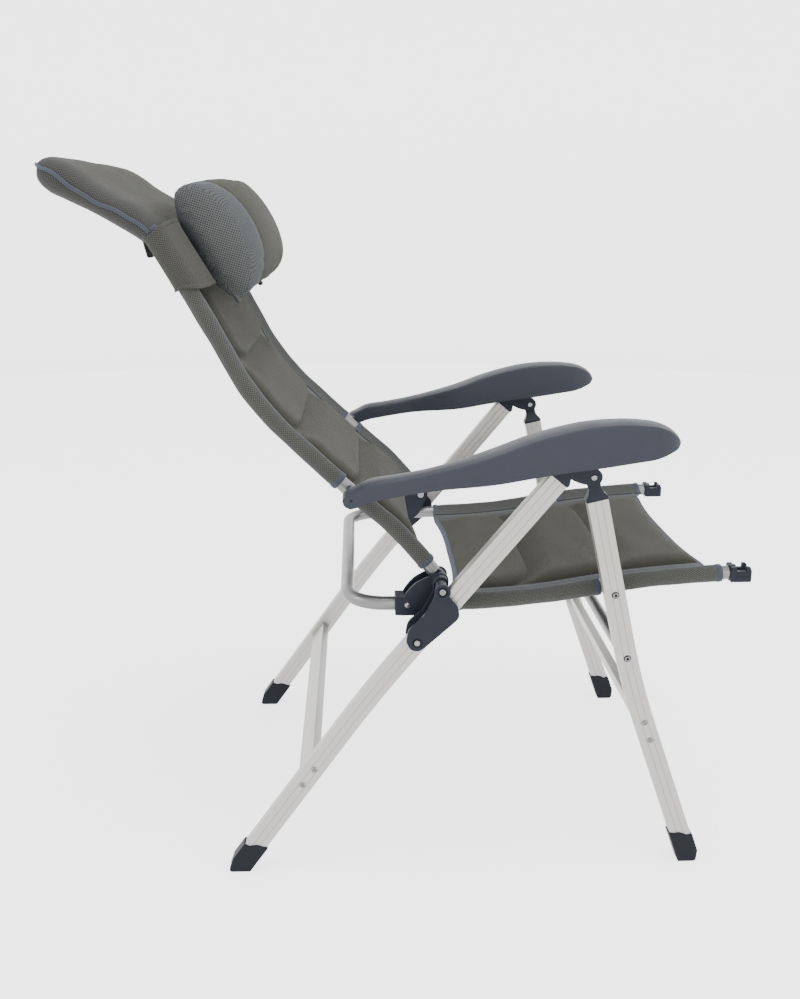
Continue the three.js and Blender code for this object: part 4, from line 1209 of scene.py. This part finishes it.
def armrest():
    """A hollow moulded rest: crisp outer edge, crowned top, open below, with a round lobe at the pivot."""
    y = np.concatenate([ARM_PIVOT[0] + LOBE_R * np.cos(np.linspace(0, np.pi / 2, 14)),
                        np.linspace(86, -340, 90),
                        -340 + (ARM_NOSE_Y + 340) * np.sin(np.linspace(0.05, np.pi / 2, 26))])
    under, top = level(ARM_UNDER, y), level(ARM_TOP, y)
    widen = smooth_step((-10 - y) / 130)
    inner = LOBE_INNER + (ARM_INNER - LOBE_INNER) * widen
    middle = (ARM_INNER + ARM_OUTER) / 2
    nose = np.sqrt(np.clip(1 - np.clip((-y - 340) / (-ARM_NOSE_Y - 339.5), 0, 1)**2, 0, 1))
    rings = []
    for i in range(len(y)):
        x0 = middle + (ARM_OUTER - middle) * (0.25 + 0.75 * nose[i])
        x1 = middle + (inner[i] - middle) * (0.25 + 0.75 * nose[i] if inner[i] > middle else 1)
        low, high = under[i], top[i]
        tall = high - low
        edge = min(3.6, tall * 0.3)
        hollow = float(smooth_step((56 - y[i]) / 30)) * float(smooth_step((y[i] + 378) / 20))
        roof = low + 0.2 + max(tall - 6.5, 0) * hollow
        crown = min(3, tall * 0.12)
        outer_edge = arc((x0 + edge, high - crown - edge), edge, 180, 90, 6)
        ridge_x = np.linspace(x0 + edge, x1 - edge, 9)[1:-1]
        bow = np.sin((ridge_x - x0) / (x1 - x0) * np.pi)
        ridge = np.column_stack([ridge_x, high - crown + crown * bow])
        inner_edge = arc((x1 - edge, high - crown - edge), edge, 90, 0, 6)
        wall = min(ARM_WALL, (x1 - x0) * 0.2)
        section = np.vstack([[(x0, low), (x0, low + tall * 0.35)], outer_edge, ridge, inner_edge,
                             [(x1, low + tall * 0.35), (x1, low), (x1 - wall, low), (x1 - wall, roof),
                              (x0 + wall, roof), (x0 + wall, low)]])
        rings.append(np.column_stack([section[:, 0], np.full(len(section), y[i]), section[:, 1]]))
    return skin(np.stack(rings))


pair("visual_armrest", armrest(), ARM, "armrests", "arm_plastic", ["armrest"], sharp=34)
# A flat black disc standing on the pivot hole: painted shade inside the hole.
pinhole_shade_disc = turned(ARM_PIVOT, [(2, 0.4), (2, -0.12), (0, -0.12)], 24, ARM_OUTER)
pair("armrest_pin_socket", pinhole_shade_disc, BLACK, "armrests", "arm_plastic")


# ---- pieces kept from the frame
replaced = set()
for each in bpy.data.objects:
    replaced.update(each.get("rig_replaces", []))
for node in frame["nodes"]:
    if node not in replaced:
        kept = bpy.data.objects[node]
        kept.data.materials.clear()
        kept.data.materials.append(GREY)


# ---- floor, light and camera
WHITE = (1, 1, 1, 1)
PAPER_GLOW = 2.3
LIT_SPOT = Vector((0, 0, 0.55))


def backdrop():
    """A pale floor that curves up into a wall all round."""
    reach, bend, wall = 7.5, 2, 8.0
    profile = [(reach - bend, 0)]
    for a in np.radians(np.linspace(15, 90, 6)):
        profile.append((reach - bend + bend * math.sin(a), bend - bend * math.cos(a)))
    profile.append((reach, wall))
    turns = np.linspace(0, 2 * np.pi, 48, endpoint=False)
    points = [(r * math.cos(a), r * math.sin(a), z) for r, z in profile for a in turns]
    faces = quads(len(profile), len(turns), True)[0]
    faces.append(tuple(range(len(turns))))
    mesh = bpy.data.meshes.new("backdrop")
    mesh.from_pydata(points, [], faces)
    mesh.polygons.foreach_set("use_smooth", [len(face) == 4 for face in faces])
    made = linked("backdrop", mesh)
    paper = Finish("studio_paper", Roughness=0.95, Emission_Color=WHITE, Emission_Strength=PAPER_GLOW)
    shade = paper.blend(paper.noise(6, 3), tone(WHITE, 0.39), tone(WHITE, 0.41))
    mesh.materials.append(paper.done(shade))


def soft_light(name, place, size, power, tint=(1.0, 1.0, 1.0)):
    lamp = bpy.data.lights.new(name, "AREA")
    lamp.shape = "DISK"
    lamp.size = size
    lamp.energy = power
    lamp.color = tint
    made = linked(name, lamp)
    made.location = place
    made.rotation_euler = (LIT_SPOT - Vector(place)).to_track_quat("-Z", "Y").to_euler()


backdrop()
soft_light("overhead", (-0.6, 0.1, 3.6), 2.2, 140)
soft_light("camera_side", (-3.6, -0.8, 2.4), 2.4, 45)
soft_light("front", (-0.6, -3.6, 2.2), 2.0, 40)
soft_light("rear", (-0.6, 3.4, 2.4), 1.8, 55, (0.9, 0.94, 1.0))

world = bpy.data.worlds.new("studio")
world.use_nodes = True
sky = world.node_tree.nodes["Background"].inputs
sky["Color"].default_value = WHITE
sky["Strength"].default_value = 0.8
bpy.context.scene.world = world

camera = linked("camera", bpy.data.cameras.new("camera"))
camera.location = (-1.80567, 0.08167, 1.04175)
camera.rotation_mode = "QUATERNION"
camera.rotation_quaternion = Vector((0.9628, -0.0385, -0.2676)).to_track_quat("-Z", "Y")
camera.data.lens = 37.84
camera.data.sensor_width = 36.0
camera.data.clip_start = 0.05
camera.data.clip_end = 60.0
bpy.context.scene.camera = camera
